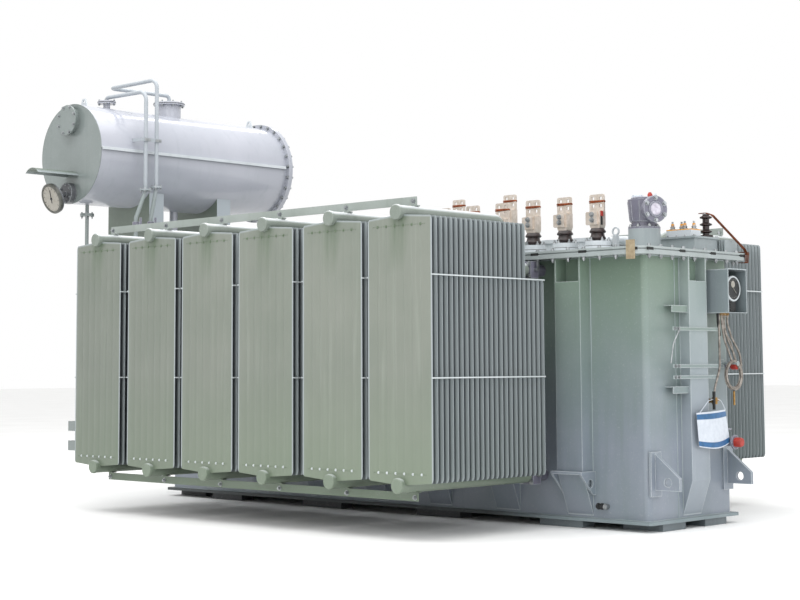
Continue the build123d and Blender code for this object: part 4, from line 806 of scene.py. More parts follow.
def build_radiator(settings, node, side):
    """Panels, headers, spacer bars and spot welds of one radiator; side is -1 in the front row."""
    centre = radiator_centre(node)
    with piece(f"{node}_panels", "radiator", "radiator_paint", [node], smooth=28) as bm:
        for name in ("stain", "gap", "edge"):
            bm.verts.layers.float.new(name)
        for number in range(settings.panels):
            add_panel(bm, settings, number, centre, side)
    with piece(f"{node}_headers", "header", "radiator_paint") as bm:
        bends = ((HEADER["end"], "high"), (912.5, "high"), (747, "neck"), (HEADER["in"], "neck"))
        upper = [at(centre, side * y, HEADER[level]) for y, level in bends]
        add_tube(bm, bent_route(upper, 57), HEADER["r"], 28)
        lower = [at(centre, side * y, HEADER["low"]) for y in (HEADER["end"], HEADER["in"])]
        add_tube(bm, lower, HEADER["r"], 28)
        for level in ("high", "low"):
            add_turned(bm, at(centre, side * HEADER["cap"], HEADER[level]), -side * Y, CAP_PROFILE, 36)
    # Spacer bars in the pale enamel of painted highlight
    with piece(f"{node}_spacers", "spacer", "radiator_paint") as bm:
        for z in SPACER["levels"]:
            for edge in (-SPACER["out"], SPACER["out"]):
                add_box(bm, at(centre + edge, side * SPACER["middle"], z), SPACER["size"])
        add_box(bm, at(centre - 40, side * 1800, 1890), (50, 6, 22))
    face = side * (PANEL["face"] - 2)
    columns = [centre + (i - 2.5) * settings.channel_pitch / MM for i in range(6)]
    # The dots' dark green is painted shadow
    with piece(f"{node}_spot_welds_top", "spot_green", "radiator_paint") as bm:
        for x in columns:
            add_turned(bm, at(x, face, SPOT["high"]), side * Y, SPOT["big"], 12)
        for z in (SPOT["high"], SPOT["low"]):
            for i in range(SMALL_SPOTS):
                x = centre + (i - (SMALL_SPOTS - 1) / 2) * SMALL_PITCH
                add_turned(bm, at(x, face, z), side * Y, SPOT["small"], 8)
    # Big low spot welds in the pale enamel of painted highlight
    with piece(f"{node}_spot_welds_low", "spacer", "radiator_paint") as bm:
        for x in columns:
            add_turned(bm, at(x, face, SPOT["low"]), side * Y, SPOT["big"], 12)


def build_header_bolts():
    """Bolts of the rails, and bolts and levers of the valves between headers and tank."""
    low, high = box_mm("header_rails")
    places = [(radiator_centre(f"radiator_front_{k}"), side) for side in (-1, 1) for k in range(1, 7)]
    with piece("rail_bolts", "zinc", "radiator_paint") as bm:
        for x, side in places:
            for z in (high.z - 27, low.z + 22):
                add_bolt(bm, at(x, side * high.y, z), side * Y, 19, stud=4)
            add_prism(bm, at(x, side * 1660, 1977), Z, 9, 34, 12)
    with piece("valve_bolts_and_levers", "zinc", "valve_body") as bm:
        for x, side in places:
            for z in (HEADER["neck"], HEADER["low"]):
                for dx in (-42, 42):
                    for dz in (-42, 42):
                        add_bolt(bm, at(x + dx, side * HEADER["in"], z + dz), side * Y, 18)
                add_prism(bm, at(x + 55, side * 600, z), X, 10, 22, 12)
                add_box(bm, at(x + 82, side * 600, z + 22), (8, 16, 62))


class TRANSFORMER_OT_radiators(bpy.types.Operator):
    """Builds the pressed panels, headers, spot welds and bolts of all twelve radiators"""
    bl_idname = "transformer.radiators"
    bl_label = "Radiators"

    def execute(self, context):
        for k in range(1, 7):
            for row, side in ROWS:
                build_radiator(context.scene.transformer_radiators, f"radiator_{row}_{k}", side)
        build_header_bolts()
        return {"FINISHED"}


# Conservator: its drum lies along Y, and angles about its axis run from +X up

DRUM_LOW, DRUM_HIGH = box_mm("conservator_shell")
DRUM = {
    "x": (DRUM_LOW.x + DRUM_HIGH.x) / 2, "z": (DRUM_LOW.z + DRUM_HIGH.z) / 2, "r": 408.0,
    "half": -box_mm("conservator_near_end")[0].y, "flange": (DRUM_HIGH.x - DRUM_LOW.x) / 2, "bolts": 428.0,
}
MANHOLE_Z = sum(corner.z for corner in box_mm("conservator_manhole")) / 2
NECKS = (  # y, radius of the bolt circle, top, number of bolts, radius of the gasket, its bore
    (-677, 62, 3236, 4, 76.5, 30),
    (-18, 120, 3292, 8, 136.5, 100),
)
GAUGE_Z = 2392.0
VENT_X = -2450.0
PIPE_JOINTS = (  # x, y, low face of the flanges, their thickness, radius of the bolt circle, stud
    (VENT_X, -650, 2448, 14, 36, 8),
    (VENT_X, -540, 2478, 14, 36, 8),
    (DRUM["x"], -863, 2258, 24, 42, 10),
)


def build_drum():
    x, z, r, end = DRUM["x"], DRUM["z"], DRUM["r"], -DRUM["half"]
    wall = [(300, 4), (r - 6, 4), (r - 1, 7), (r, 12), (r, 2012)]
    flange = [(DRUM["flange"], 2012), (DRUM["flange"], 2033), (300, 2033)]
    with piece("conservator_drum", "drum", "conservator_paint", ["conservator_shell"]) as bm:
        add_turned(bm, at(x, end, z), Y, wall + flange, 128)
    with piece("conservator_end_plate", "drum_end", "conservator_paint", ["conservator_near_end"]) as bm:
        add_turned(bm, at(x, end, z), Y, [(0, 0), (r - 4, 0), (r - 1, 4), (0, 6)], 96)
    with piece("conservator_end_weld", "drum_end", "conservator_paint") as bm:
        ring = [at(x + dx, end + 3, z + dz) for dx, dz in circle(90, r - 0.5)]
        add_tube(bm, ring + ring[:1], 4, 6)


def build_drum_bolts():
    x, z, half = DRUM["x"], DRUM["z"], DRUM["half"]
    with piece("conservator_bolts", "zinc", "conservator_paint") as bm:
        for dx, dz in circle(28, DRUM["bolts"], 4):
            add_bolt(bm, at(x + dx, half - 44, z + dz), -Y)
            add_bolt(bm, at(x + dx, half, z + dz), Y, stud=5)
        for dx, dz in circle(8, 112, 22.5):
            add_bolt(bm, at(x + dx, -half - 50, MANHOLE_Z + dz), -Y, 17)
        for y, radius, top, count, _, _ in NECKS:
            for dx, dy in circle(count, radius, 180 / count):
                add_bolt(bm, at(x + dx, y + dy, top), Z, 15, stud=4)
                add_bolt(bm, at(x + dx, y + dy, top - 24), -Z, 15)
        for dx, dz in circle(6, 70, 30):
            add_bolt(bm, at(x + dx, -half - 50, 2436 + dz), -Y, 15, stud=4)
    with piece("neck_gaskets", "rubber", "gasket_rubber") as bm:
        for y, _, top, _, radius, bore in NECKS[::-1]:
            add_ring(bm, at(x, y, top - 14), Z, radius, bore, 4)


def build_gauge():
    """Dial of the level gauge, which leans down to be read: bezel, face, plain ticks and pointer."""
    tilt = Matrix.Rotation(math.radians(20), 3, "X")
    facing_out, up = tilt @ -Y, tilt @ Z
    face = at(DRUM["x"], -1178, GAUGE_Z) + facing_out * 36 * MM

    def add_mark(bm, degrees, reach, lift, size):
        ray = X * math.sin(math.radians(degrees)) + up * math.cos(math.radians(degrees))
        turn = Matrix((ray.cross(facing_out), ray, facing_out)).transposed()
        add_box(bm, face + (facing_out * lift + ray * reach) * MM, size, turn)

    with piece("level_gauge_bezel", "bezel", "gauge_face") as bm:
        add_ring(bm, face - facing_out * 20 * MM, facing_out, 125, 104, 26, 64, 6)
    with piece("level_gauge_dial", "dial", "gauge_face") as bm:
        add_prism(bm, face, facing_out, 105, 1.5, 48)
    with piece("level_gauge_pointer", "dark", "gauge_face") as bm:
        for i in range(11):
            add_mark(bm, 26 * i - 130, 88, 2, (3, 18, 1))
        add_mark(bm, 8, 18, 4, (6, 110, 2))
        add_prism(bm, face, facing_out, 12, 6, 20)


def build_pipe_fittings():
    with piece("pipe_clamps_and_bolts", "zinc", "conservator_paint") as bm:
        for y in (-650, -540):
            add_ring(bm, at(VENT_X, y, 2856), Z, 24, 16.5, 18, 24)
            add_box(bm, at(VENT_X + 22, y, 2865), (12, 60, 22))
        for x, y, z, thick, radius, stud in PIPE_JOINTS:
            for dx, dy in circle(4, radius, 45):
                add_bolt(bm, at(x + dx, y + dy, z + thick), Z, 13, stud=3)
                add_bolt(bm, at(x + dx, y + dy, z), -Z, 13, stud=stud)
    with piece("vent_valves", "cast", "valve_body") as bm:
        for y, z in ((-743, 2160), (-594, 2170)):
            add_prism(bm, at(VENT_X, y, z - 30), Z, 30, 60, 6)
            add_prism(bm, at(VENT_X, y, z), X, 12, 60, 16)
            add_box(bm, at(VENT_X + 62, y, z + 25), (8, 18, 70))


class TRANSFORMER_OT_conservator(bpy.types.Operator):
    """Builds the smooth drum, its bolts, the gauge's dial and the pipe fittings"""
    bl_idname = "transformer.conservator"
    bl_label = "Conservator"

    def execute(self, context):
        build_drum()
        build_drum_bolts()
        build_gauge()
        build_pipe_fittings()
        return {"FINISHED"}


# Bushings

LV_SKIRT, HV_SKIRT, PORCELAIN_CORE = 54.0, 62.0, 42.0


def bushing_places(node, skirt, count):
    """(x, y) of a row of bushings, nearest first, from the box of their porcelains."""
    low, high = box_mm(node)
    first, last = high.x - skirt, low.x + skirt
    return [(first + (last - first) * i / (count - 1), (low.y + high.y) / 2) for i in range(count)]


LV_PLACES = bushing_places("lv_porcelains", LV_SKIRT, 6)
HV_PLACES = bushing_places("hv_porcelains", HV_SKIRT, 3)
# Outline of one skirt: radius as a share of the skirt's or the core's, height as a share of a step
SKIRT = ((1.0, 0.22), (0.96, 0.36), (1.0, 0.46), (0.97, 0.58), (1.08, 0.84))
PALM = {"half": 58.0, "height": 104.0, "thickness": 12.0, "hole": 20.0, "apart": 60.0, "rows": (30.0, 78.0)}
PALM_ROUND = 12.0
CLAMP = {"half": 42.0, "depth": 60.0, "taper": 22.0, "foot": 34.0, "chamfer": 6.0}


def porcelain_profile(height, core, skirt, skirts):
    """Glazed body with drooping skirts, as (radius, height) pairs."""
    out = [(0, 0), (core * 0.98, 0)]
    for i in range(skirts):
        for k, (share, rise) in enumerate(SKIRT):
            out.append(((skirt if 0 < k < 4 else core) * share, (i + rise) * height / skirts))
    return out + [(core, height), (0, height)]


def build_porcelains():
    for row, places, skirt, skirts in (("lv", LV_PLACES, LV_SKIRT, 2), ("hv", HV_PLACES, HV_SKIRT, 4)):
        node = f"{row}_porcelains"
        low, high = box_mm(node)
        profile = porcelain_profile(high.z - low.z, PORCELAIN_CORE, skirt, skirts)
        with piece(f"{row}_porcelain_bodies", "porcelain", "porcelain", [node], smooth=60) as bm:
            for x, y in places:
                add_turned(bm, at(x, y, low.z), Z, profile)


def palm_cells(low):
    """Cells of a drilled palm with rounded top corners; the four square holes are left out."""
    half, top, r = PALM["half"], low + PALM["height"], PALM_ROUND
    near, far = (PALM["apart"] - PALM["hole"]) / 2, (PALM["apart"] + PALM["hole"]) / 2
    columns = (-half, -far, -near, near, far, half)
    levels = [low - 6]
    for row in PALM["rows"]:
        levels += [low + row - PALM["hole"] / 2, low + row + PALM["hole"] / 2]
    levels.append(top)
    cells = []
    for j, (z0, z1) in enumerate(zip(levels, levels[1:])):
        for i, (x0, x1) in enumerate(zip(columns, columns[1:])):
            if j in (1, 3) and i in (1, 3):
                continue
            cell = [(x0, z0), (x1, z0), (x1, z1), (x0, z1)]
            if j == 4 and i in (0, 4):
                side = -1 if i == 0 else 1
                arc = [(side * (half - r + u), top - r + v) for u, v in list(circle(16, r))[:5]]
                cell = [(side * far, z0), (side * half, z0), *arc, (side * far, top)]
            cells.append(cell)
    return cells


def build_terminals():
    """Clamp with its tapered foot and raised ear, and the drilled palm standing in it."""
    half, foot, taper, cut = (CLAMP[key] for key in ("half", "foot", "taper", "chamfer"))
    for row, places in (("lv", LV_PLACES), ("hv", HV_PLACES)):
        node = f"{row}_terminals"
        low, high = box_mm(node)
        top = high.z - low.z - PALM["height"]
        right = [(foot, 0), (half, taper), (half, top - cut), (half - cut, top)]
        body = right + [(-x, z) for x, z in right[::-1]]
        ear = [(-64, top - 88), (-58, top - 94), (26, top - 94)]
        ear += [(26, top - 10), (-58, top - 10), (-64, top - 16)]
        with piece(f"{node}_drilled", "tinned", "tinned", [node]) as bm:
            for x, y in places:
                add_plate(bm, [body], CLAMP["depth"], at(x, y, low.z))
                add_plate(bm, [ear], 16, at(x, y - CLAMP["depth"] / 2 - 4, low.z))
                add_plate(bm, palm_cells(top), PALM["thickness"], at(x, y, low.z))


def build_terminal_trim():
    """Studs of the seats and clamps, a tag on the nearest terminal, wire round the palms, gaskets."""
    seat_top = box_mm("lv_bushing_seats")[1].z
    with piece("bushing_studs", "zinc", "tinned") as bm:
        for x, y in LV_PLACES:
            for dx, dy in circle(6, 70, 30):
                add_bolt(bm, at(x + dx, y + dy, seat_top), Z, 17, stud=12)
            for z in (1951, 1986):
                add_bolt(bm, at(x - 14, y - 42, z), -Y, 21, stud=3)
    x, y = LV_PLACES[0]
    with piece("terminal_tag", "red", "tinned") as bm:
        add_box(bm, at(x + 43, y - 10, 1992), (4, 28, 34))
    with piece("terminal_tag_tie", "rubber", "tinned") as bm:
        add_box(bm, at(x + 43, y - 14, 1946), (5, 16, 56))
    with piece("bushing_copper_wire", "copper", "tinned") as bm:
        for places, top in ((LV_PLACES, 2066), (HV_PLACES, 2202)):
            for x, y in places:
                points = []
                for i in range(61):  # three turns, flattened where they lie on the palm
                    a = 2 * math.pi * i / 20
                    across = max(-60, min(60, 76 * math.cos(a)))
                    rise = 5 * math.sin(a / 2) + i * 0.12
                    points.append(at(x + across, y + 9 * math.sin(a), top + rise))
                add_tube(bm, points, 2.8, 8)
    with piece("bushing_gaskets", "rubber", "gasket_rubber") as bm:
        for x, y in LV_PLACES:
            add_ring(bm, at(x, y, 1779), Z, 86, 40, 5, 40)


class TRANSFORMER_OT_bushings(bpy.types.Operator):
    """Builds the glazed porcelains, terminals, studs, gaskets and copper wire"""
    bl_idname = "transformer.bushings"
    bl_label = "Bushings"

    def execute(self, context):
        build_porcelains()
        build_terminals()
        build_terminal_trim()
        return {"FINISHED"}


# Tap changer and the right end of the cover

TAP_LOW, TAP_HIGH = box_mm("tap_changer_turret")
TAP = {
    "x": (TAP_LOW.x + TAP_HIGH.x) / 2, "y": (TAP_LOW.y + TAP_HIGH.y) / 2,
    "flange": 1901.0, "port": 2006.5, "lid": 2092.0, "turn": -25.0, "reach": 148.0,
}


# Run of the earthing strap from the top of its bushing to the cover's edge
STRAP = ((2190, 330, 2012), (2225, 348, 2016), (2262, 372, 2000), (2385, 555, 1778), (2394, 575, 1740))


def build_tap_changer():
    """Bolts, ribs, window and lid fittings of the tap changer's head, which is turned on its neck."""
    x, y = TAP["x"], TAP["y"]
    out = Matrix.Rotation(math.radians(TAP["turn"]), 3, "Z") @ X
    side = Z.cross(out)
    face = at(x, y, TAP["port"]) + out * TAP["reach"] * MM
    with piece("tap_changer_bolts", "zinc", "cast_head") as bm:
        for u, v in circle(6, 72, 30):
            add_bolt(bm, face + (side * u + Z * v) * MM, out)
        for dx, dy in circle(8, 93, 10):
            add_bolt(bm, at(x + dx, y + dy, TAP["flange"]), Z, 17, stud=6)
    with piece("tap_changer_port_ring", "cast", "cast_head") as bm:
        add_ring(bm, face, out, 52, 38, 6, 48, 2)
    with piece("tap_changer_port_glass", "port", "gauge_face") as bm:
        add_prism(bm, face - out * 2 * MM, out, 39, 4, 40)
    with piece("tap_changer_ribs", "cast", "cast_head") as bm:
        for u, v in circle(10):
            add_tube(bm, [at(x + r * u, y + r * v, z) for r, z in ((90, 1940), (102.5, 2066))], 3.5, 6)
    with piece("tap_changer_lid_fittings", "card", "cast_head") as bm:
        add_turned(bm, at(x - 25, y - 25, TAP["lid"]), Z, [(30, 0), (30, 12), (20, 24), (0, 26)], 24)
        for degrees in (20, 75, 130, 185):
            dx, dy = next(circle(1, 78, degrees))
            add_bolt(bm, at(x + dx, y + dy, TAP["lid"]), Z, 18, stud=8)
    with piece("tap_changer_red_cap", "red", "cast_head") as bm:
        add_turned(bm, at(x + 33, y + 22, TAP["lid"]), Z, [(16, 0), (16, 20), (8, 34), (0, 34)], 20)


def build_terminal_group():
    """Nuts on the terminal box, bolts of its turret and the strap off the earthing bushing."""
    low, high = box_mm("aux_terminal_box")
    turret_top = box_mm("terminal_turret")[1].z
    with piece("terminal_nuts", "zinc", "cast_head") as bm:
        for i in range(4):
            x = low.x + (i + 0.5) * (high.x - low.x) / 4
            y = low.y + (high.y - low.y) * (0.35, 0.65)[i % 2]
            for rise, across in ((8, 26), (24, 20)):
                add_bolt(bm, at(x, y, high.z + rise), Z, across)
            add_prism(bm, at(x, y, high.z + 25), Z, 7, 36, 16)
        for x in (1990, 2060, 2130, 2195, 2262):
            for y in (152, 418):
                add_bolt(bm, at(x, y, turret_top), Z, 14)
        for x in (2062, 2145, 2228):
            add_bolt(bm, at(x, 162, 1882), -Y, 12)
    with piece("earthing_strap", "aged_copper", "tinned") as bm:
        for offset in (-5.4, -1.8, 1.8, 5.4):  # four wires side by side
            add_tube(bm, bent_route([at(x + offset, y + offset, z) for x, y, z in STRAP], 30), 2.6, 8)
        for i, y in enumerate((548, 560, 572, 584)):  # turns round the cover's edge
            wrap = ((2340, y, 1690), (2394, y, 1688), (2396, y + 9 * (i % 2), 1758), (2330, y, 1758))
            add_tube(bm, bent_route([at(*p) for p in wrap], 6), 2.6, 8)


def build_cover_fittings():
    """Lifting eye, equalising pipe behind the bushings, bosses and the block at the corner."""
    top = box_mm("tank_cover")[1].z
    with piece("cover_lifting_eye", "seat", "tank_paint") as bm:
        add_ring(bm, at(1822, -103, 1893), Y, 31, 20, 10, 32, 3)
        add_prism(bm, at(1822, -98, top), Z, 22, 115, 20)
        add_turned(bm, at(1822, -98, top), Z, [(50, 0), (50, 12), (30, 20), (0, 20)], 24)
    with piece("cover_equalising_pipe", "seat", "tank_paint") as bm:
        pipe = ((1560, 20, top + 2), (1560, 20, 1850), (1860, 20, 1842), (1860, 20, top + 2))
        add_tube(bm, bent_route([at(*p) for p in pipe], 45), 27, 20)
    with piece("cover_bosses", "seat", "tank_paint") as bm:
        for x, r in ((1180, 75), (1420, 60)):
            profile = [(r, 0), (r, 100), (r * 1.2, 100), (r * 1.2, 125), (0, 125)]
            add_turned(bm, at(x, 60, top), Z, profile, 32)
    with piece("corner_clamp_block", "wood", "tank_paint") as bm:
        add_box(bm, at(2300, -607, 1727), (60, 12, 118))


class TRANSFORMER_OT_cover(bpy.types.Operator):
    """Builds the tap changer's trim and the fittings at the right end of the cover"""
    bl_idname = "transformer.cover"
    bl_label = "Cover fittings"

    def execute(self, context):
        build_tap_changer()
        build_terminal_group()
        build_cover_fittings()
        return {"FINISHED"}


# Thermometer, its capillary and the fittings hung on the tank end

HOOD_LOW, HOOD_HIGH = box_mm("thermometer_hood")
GLAND = (2400.0, (HOOD_LOW.y + HOOD_HIGH.y) / 2, HOOD_LOW.z)
# Its coil lies where the CAD has it; pitch is from turn to turn inwards, spread half its depth
CAPILLARY = {
    "wide": 8.0, "y": 366.0, "z": 952.0, "r": 101.0, "turns": 5.5, "pitch": 8.4, "steps": 16, "spread": 6.0
}
# Steps of the free run from its gland down to the coil
FREE_RUN = ((0, 0), (0, -50), (19, -114), (74, -164), (95, -219), (97, -260))
CONDUITS = (
    ((2400, 239, 1329), (2400, 239, 1285), (2402, 262, 1180), (2402, 330, 1070), (2402, 352, 1030)),
    ((2400, 303, 1329), (2400, 303, 1285), (2405, 345, 1190), (2412, 425, 1090), (2408, 450, 1010)),
    ((2396, 255, 1329), (2396, 255, 1285), (2398, 300, 1190), (2396, 380, 1090), (2396, 400, 1046)),
    ((2390, 222, 1345), (2390, 222, 1230), (2390, 222, 1000), (2392, 150, 860), (2392, 141, 735)),
)
CARD = {"x": 2416.0, "y": -97.0, "z": 508.0, "wide": 330.0, "high": 212.0, "thick": 1.2, "curl": 22.0}
CARD_COLUMNS = 14


def capillary_points():
    """Route of the capillary: the free run from its gland, the turns of its coil, then its bulb."""
    x, y, z = GLAND
    size = CAPILLARY
    points = [at(x, y + dy, z + dz) for dy, dz in FREE_RUN]
    for i in range(1, int(size["turns"] * size["steps"])):
        turn = i / size["steps"]
        r = size["r"] - size["pitch"] * min(turn, size["turns"] - turn)
        shift = max(-size["spread"], min(size["spread"], (turn - size["turns"] / 2) * 12))
        a = math.pi / 2 - 2 * math.pi * turn
        points.append(at(x + shift, size["y"] + r * math.cos(a), size["z"] + r * math.sin(a)))
    return points + [at(x, size["y"] + 6, size["z"] - 96), at(x, size["y"], size["z"] - 103)]


def build_capillary():
    curve = bpy.data.curves.new("thermometer_capillary", "CURVE")
    curve.dimensions = "3D"
    curve.bevel_depth = CAPILLARY["wide"] * MM / 2
    curve.bevel_resolution = 3
    curve.resolution_u = 4
    spline = curve.splines.new("NURBS")
    points = capillary_points()
    spline.points.add(len(points) - 1)
    for point, place in zip(spline.points, points):
        point.co = (*place, 1)
    spline.order_u = 3
    spline.use_endpoint_u = True
    curve.materials.append(material("armour"))
    cord = bpy.data.objects.new("thermometer_capillary", curve)
    bpy.context.scene.collection.objects.link(cord)
    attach(cord, "root")
    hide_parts("capillary_tube", "capillary_coil")


def build_thermometer():
    """Pale bezel, dark face with its white disc, ticks and pointer, and the switch block below."""
    low, high = box_mm("thermometer")
    y = (low.y + high.y) / 2
    face = at(high.x + 2, y, (low.z + high.z) / 2)
    with piece("thermometer_bezel", "spacer", "gauge_face") as bm:
        add_ring(bm, face - X * 12 * MM, X, 83, 72, 16, 48, 4)
    with piece("thermometer_dial_and_switch", "dark", "gauge_face") as bm:
        add_prism(bm, face - X * 3 * MM, X, 72, 3, 40)
        add_box(bm, at(2430, y, 1392), (70, 66, 66))
        for i in range(4):
            add_box(bm, at(2466, y, 1368 + 16 * i), (6, 60, 5))
    with piece("thermometer_scale_and_pointer", "dial", "gauge_face") as bm:
        add_prism(bm, face + (Z * 28 - Y * 4) * MM, X, 22, 1.5, 28)
        for i in range(13):
            a = math.radians(130 + 260 * i / 12)
            ray = Y * math.sin(a) - Z * math.cos(a)
            add_box(bm, face + (ray * 58 + X * 0.5) * MM, (1.2, 3.5, 3.5))
        foot = face + X * 2 * MM
        add_tube(bm, [foot, foot + (Y * 32 - Z * 30) * MM], 1.6, 6)
    with piece("thermometer_gland_nuts", "brass", "valve_body") as bm:
        for i in (-1, 0, 1):
            add_prism(bm, at(GLAND[0], GLAND[1] + 32 * i, 1349), -Z, 14.5, 10, 6)
            add_prism(bm, at(GLAND[0], GLAND[1] + 32 * i, 1336), -Z, 12.5, 6, 6)
    # Pale strips along the hood's front edges: a painted highlight
    lip = HOOD_HIGH.x - 3.5
    with piece("thermometer_hood_lip", "weld", "tank_paint") as bm:
        add_box(bm, at(lip, GLAND[1], HOOD_HIGH.z + 1), (6, 222, 6))
        for y in (HOOD_LOW.y, HOOD_HIGH.y):
            add_box(bm, at(lip, y, 1489), (5, 5, 280))


def build_end_fittings_low():
    """Conduits from the glands, black hose ends, sampling cock, red caps and the stubs behind them."""
    with piece("thermometer_conduits", "armour", "tank_paint") as bm:
        for route in CONDUITS:
            add_tube(bm, bent_route([at(*p) for p in route], 120), 7.2, 12)
    with piece("black_hose_ends", "rubber", "gasket_rubber") as bm:
        add_tube(bm, [at(2392, 143, 850), at(2392, 141, 735)], 10)
        add_tube(bm, bent_route([at(2386, 217, 1349), at(2386, 217, 1290), at(2384, 240, 1205)], 60), 8.5, 14)
    with piece("sampling_cock", "brass", "valve_body") as bm:
        add_prism(bm, at(WALL.x, 182, 790), X, 14, 80, 6)
        add_prism(bm, at(2372, 182, 812), -Z, 18, 44, 20)
        add_prism(bm, at(2372, 165, 796), Y, 10, 52, 16)
    valve, stub = (300, 525), (430, 1013)
    with piece("red_end_caps", "red", "valve_body") as bm:
        add_turned(bm, at(2446, *valve), X, [(0, 0), (30, 0), (31, 36), (26, 48), (0, 50)], 32)
        add_turned(bm, at(2350, *stub), X, [(0, 0), (26, 0), (27, 36), (22, 44), (0, 46)], 32)
    with piece("end_stubs_and_bolts", "cast", "valve_body") as bm:
        add_prism(bm, at(WALL.x, *stub), X, 22, 46)
        for dy, dz in circle(4, 36, 45):
            add_bolt(bm, at(2318, valve[0] + dy, valve[1] + dz), X, 13, stud=3)


def add_card(bm, low, high, lift):
    """Band of the curled card between two shares of its height, lifted off its face."""
    corners = []
    for share in (low, high):
        for i in range(CARD_COLUMNS + 1):
            u = i / CARD_COLUMNS
            bow = CARD["curl"] * math.sin(math.pi * u)
            y = CARD["y"] + CARD["wide"] * u + (1 - share) * (26 + 22 * u)
            z = CARD["z"] + CARD["high"] * share + 14 * u - bow * (1 - share)
            x = CARD["x"] + bow + lift
            corners.append([bm.verts.new(at(x - back, y, z)) for back in (0, CARD["thick"])])
    bottom, top = corners[: CARD_COLUMNS + 1], corners[CARD_COLUMNS + 1 :]
    loops = [[b[0], b[1], t[1], t[0]] for b, t in zip(bottom, top)]
    skin(bm, loops)
    bm.faces.new(loops[0])
    bm.faces.new(loops[-1])


def build_card():
    """Bare hang card with two plain bands, on its loop of cord."""
    with piece("hang_card", "card", "yellow_rubber", smooth=50) as bm:
        add_card(bm, 0, 1, 0)
        loop = ((2420, -70, 716), (2404, 60, 792), (2380, 182, 806), (2404, 205, 792), (2420, 228, 730))
        add_tube(bm, bent_route([at(*p) for p in loop], 50), 2.2, 8)
    with piece("hang_card_bands", "card_blue", "yellow_rubber", smooth=50) as bm:
        add_card(bm, 0.80, 0.95, 0.7)
        add_card(bm, 0.03, 0.17, 0.7)


class TRANSFORMER_OT_tank_end(bpy.types.Operator):
    """Builds the thermometer, its capillary, the caps and the card hung on the tank end"""
    bl_idname = "transformer.tank_end"
    bl_label = "Tank end"

    def execute(self, context):
        build_thermometer()
        build_capillary()
        build_end_fittings_low()
        build_card()
        return {"FINISHED"}


# Stage

SENSOR_MM = 36.0
LENS_SHIFT = -0.1  # lifts the transformer in the frame, as the photo has it
MIDDLE = (0, 0, 1200)
FLOOR = {"half": 60.0, "drop": 0.0005}


def add_light(name, place, target, size, watts, tint="#FFFFFF"):
    """Rectangular light at a place, turned to its target; its size is in metres."""
    data = bpy.data.lights.new(name, "AREA")
    data.shape = "RECTANGLE"
    data.size, data.size_y = size
    data.energy = watts
    data.color = linear(tint)[:3]
    light = bpy.data.objects.new(name, data)
    bpy.context.scene.collection.objects.link(light)
    light.location = at(*place)
    light.rotation_euler = (at(*target) - at(*place)).to_track_quat("-Z", "Y").to_euler()


def build_floor():
    """Matt white floor just under the feet, wide enough to have no edge in view."""
    bm = bmesh.new()
    place = Matrix.Translation(-Z * FLOOR["drop"])
    bmesh.ops.create_grid(bm, x_segments=1, y_segments=1, size=FLOOR["half"], matrix=place)
    mesh = bpy.data.meshes.new("studio_floor")
    bm.to_mesh(mesh)
    bm.free()
    paint, tree, body = new_material("matt_studio_paint", {"Roughness": 0.8})
    tint = lay(tree, "#F1F1F0", (marks(tree, 900, 0.3, 0.7), "#F7F7F6"))
    tree.links.new(tint, body.inputs["Base Color"])
    mesh.materials.append(paint)
    floor = bpy.data.objects.new("studio_floor", mesh)
    bpy.context.scene.collection.objects.link(floor)


def build_camera(settings):
    data = bpy.data.cameras.new("photo_camera")
    data.sensor_width = SENSOR_MM
    data.lens = settings.focal
    data.shift_y = LENS_SHIFT
    data.clip_end = 200
    camera = bpy.data.objects.new("photo_camera", data)
    bpy.context.scene.collection.objects.link(camera)
    camera.location = at(*(part / MM for part in settings.camera))
    yaw = Matrix.Rotation(settings.yaw, 4, "Z")
    pitch = Matrix.Rotation(math.pi / 2 + settings.pitch, 4, "X")
    roll = Matrix.Rotation(settings.roll, 4, "Z")
    camera.rotation_euler = (yaw @ pitch @ roll).to_euler()
    bpy.context.scene.camera = camera


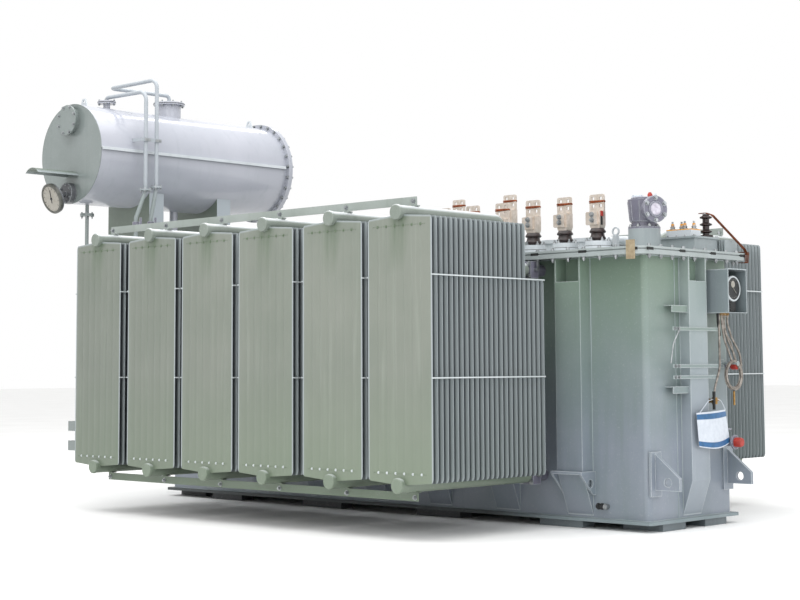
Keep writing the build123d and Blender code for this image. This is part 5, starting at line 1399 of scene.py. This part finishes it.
class TRANSFORMER_OT_stage(bpy.types.Operator):
    """Builds the pale floor, the soft lights and the camera"""
    bl_idname = "transformer.stage"
    bl_label = "Stage"

    def execute(self, context):
        scene, settings = context.scene, context.scene.transformer_stage
        build_camera(settings)
        build_floor()
        world = bpy.data.worlds.new("studio_world")
        world.use_nodes = True
        background = world.node_tree.nodes["Background"]
        background.inputs["Color"].default_value = linear("#FFFFFF")
        background.inputs["Strength"].default_value = 1.0
        scene.world = world
        scene.view_settings.view_transform = "Standard"
        add_light("overhead_bank", (0, -1500, 9000), MIDDLE, (14, 10), settings.overhead)
        add_light("front_bank", (4200, -9000, 4600), MIDDLE, (7, 5), settings.front)
        add_light("right_bank", (9500, -1500, 4200), MIDDLE, (7, 5), settings.right, "#F2F6FF")
        drum = (DRUM["x"], 0, DRUM["z"])
        add_light("drum_strip", (drum[0] - 1500, 3100, drum[2] + 3600), drum, (0.5, 6), settings.strip)
        return {"FINISHED"}


# Add-on

SETTINGS = {
    "transformer_colours": TRANSFORMER_ColourSettings,
    "transformer_tank": TRANSFORMER_TankSettings,
    "transformer_radiators": TRANSFORMER_RadiatorSettings,
    "transformer_stage": TRANSFORMER_StageSettings,
}
OPERATORS = (
    TRANSFORMER_OT_finishes,
    TRANSFORMER_OT_stage,
    TRANSFORMER_OT_radiators,
    TRANSFORMER_OT_tank,
    TRANSFORMER_OT_conservator,
    TRANSFORMER_OT_bushings,
    TRANSFORMER_OT_cover,
    TRANSFORMER_OT_tank_end,
)


class TRANSFORMER_PT_panel(bpy.types.Panel):
    """Lists the settings and the operators, in the order that builds the transformer"""
    bl_label = "Transformer"
    bl_idname = "TRANSFORMER_PT_panel"
    bl_space_type = "VIEW_3D"
    bl_region_type = "UI"
    bl_category = "Transformer"

    def draw(self, context):
        for name, group in SETTINGS.items():
            box = self.layout.box()
            for key in group.__annotations__:
                box.prop(getattr(context.scene, name), key)
        for operator in OPERATORS:
            self.layout.operator(operator.bl_idname)


def register():
    for name, group in SETTINGS.items():
        bpy.utils.register_class(group)
        setattr(bpy.types.Scene, name, bpy.props.PointerProperty(type=group))
    for kind in (*OPERATORS, TRANSFORMER_PT_panel):
        bpy.utils.register_class(kind)


def unregister():
    for kind in (TRANSFORMER_PT_panel, *reversed(OPERATORS)):
        bpy.utils.unregister_class(kind)
    for name, group in reversed(SETTINGS.items()):
        delattr(bpy.types.Scene, name)
        bpy.utils.unregister_class(group)


def main():
    register()
    bpy.ops.transformer.finishes()
    bpy.ops.transformer.stage()
    bpy.ops.transformer.radiators()
    bpy.ops.transformer.tank()
    bpy.ops.transformer.conservator()
    bpy.ops.transformer.bushings()
    bpy.ops.transformer.cover()
    bpy.ops.transformer.tank_end()


if __name__ == "__main__":
    main()
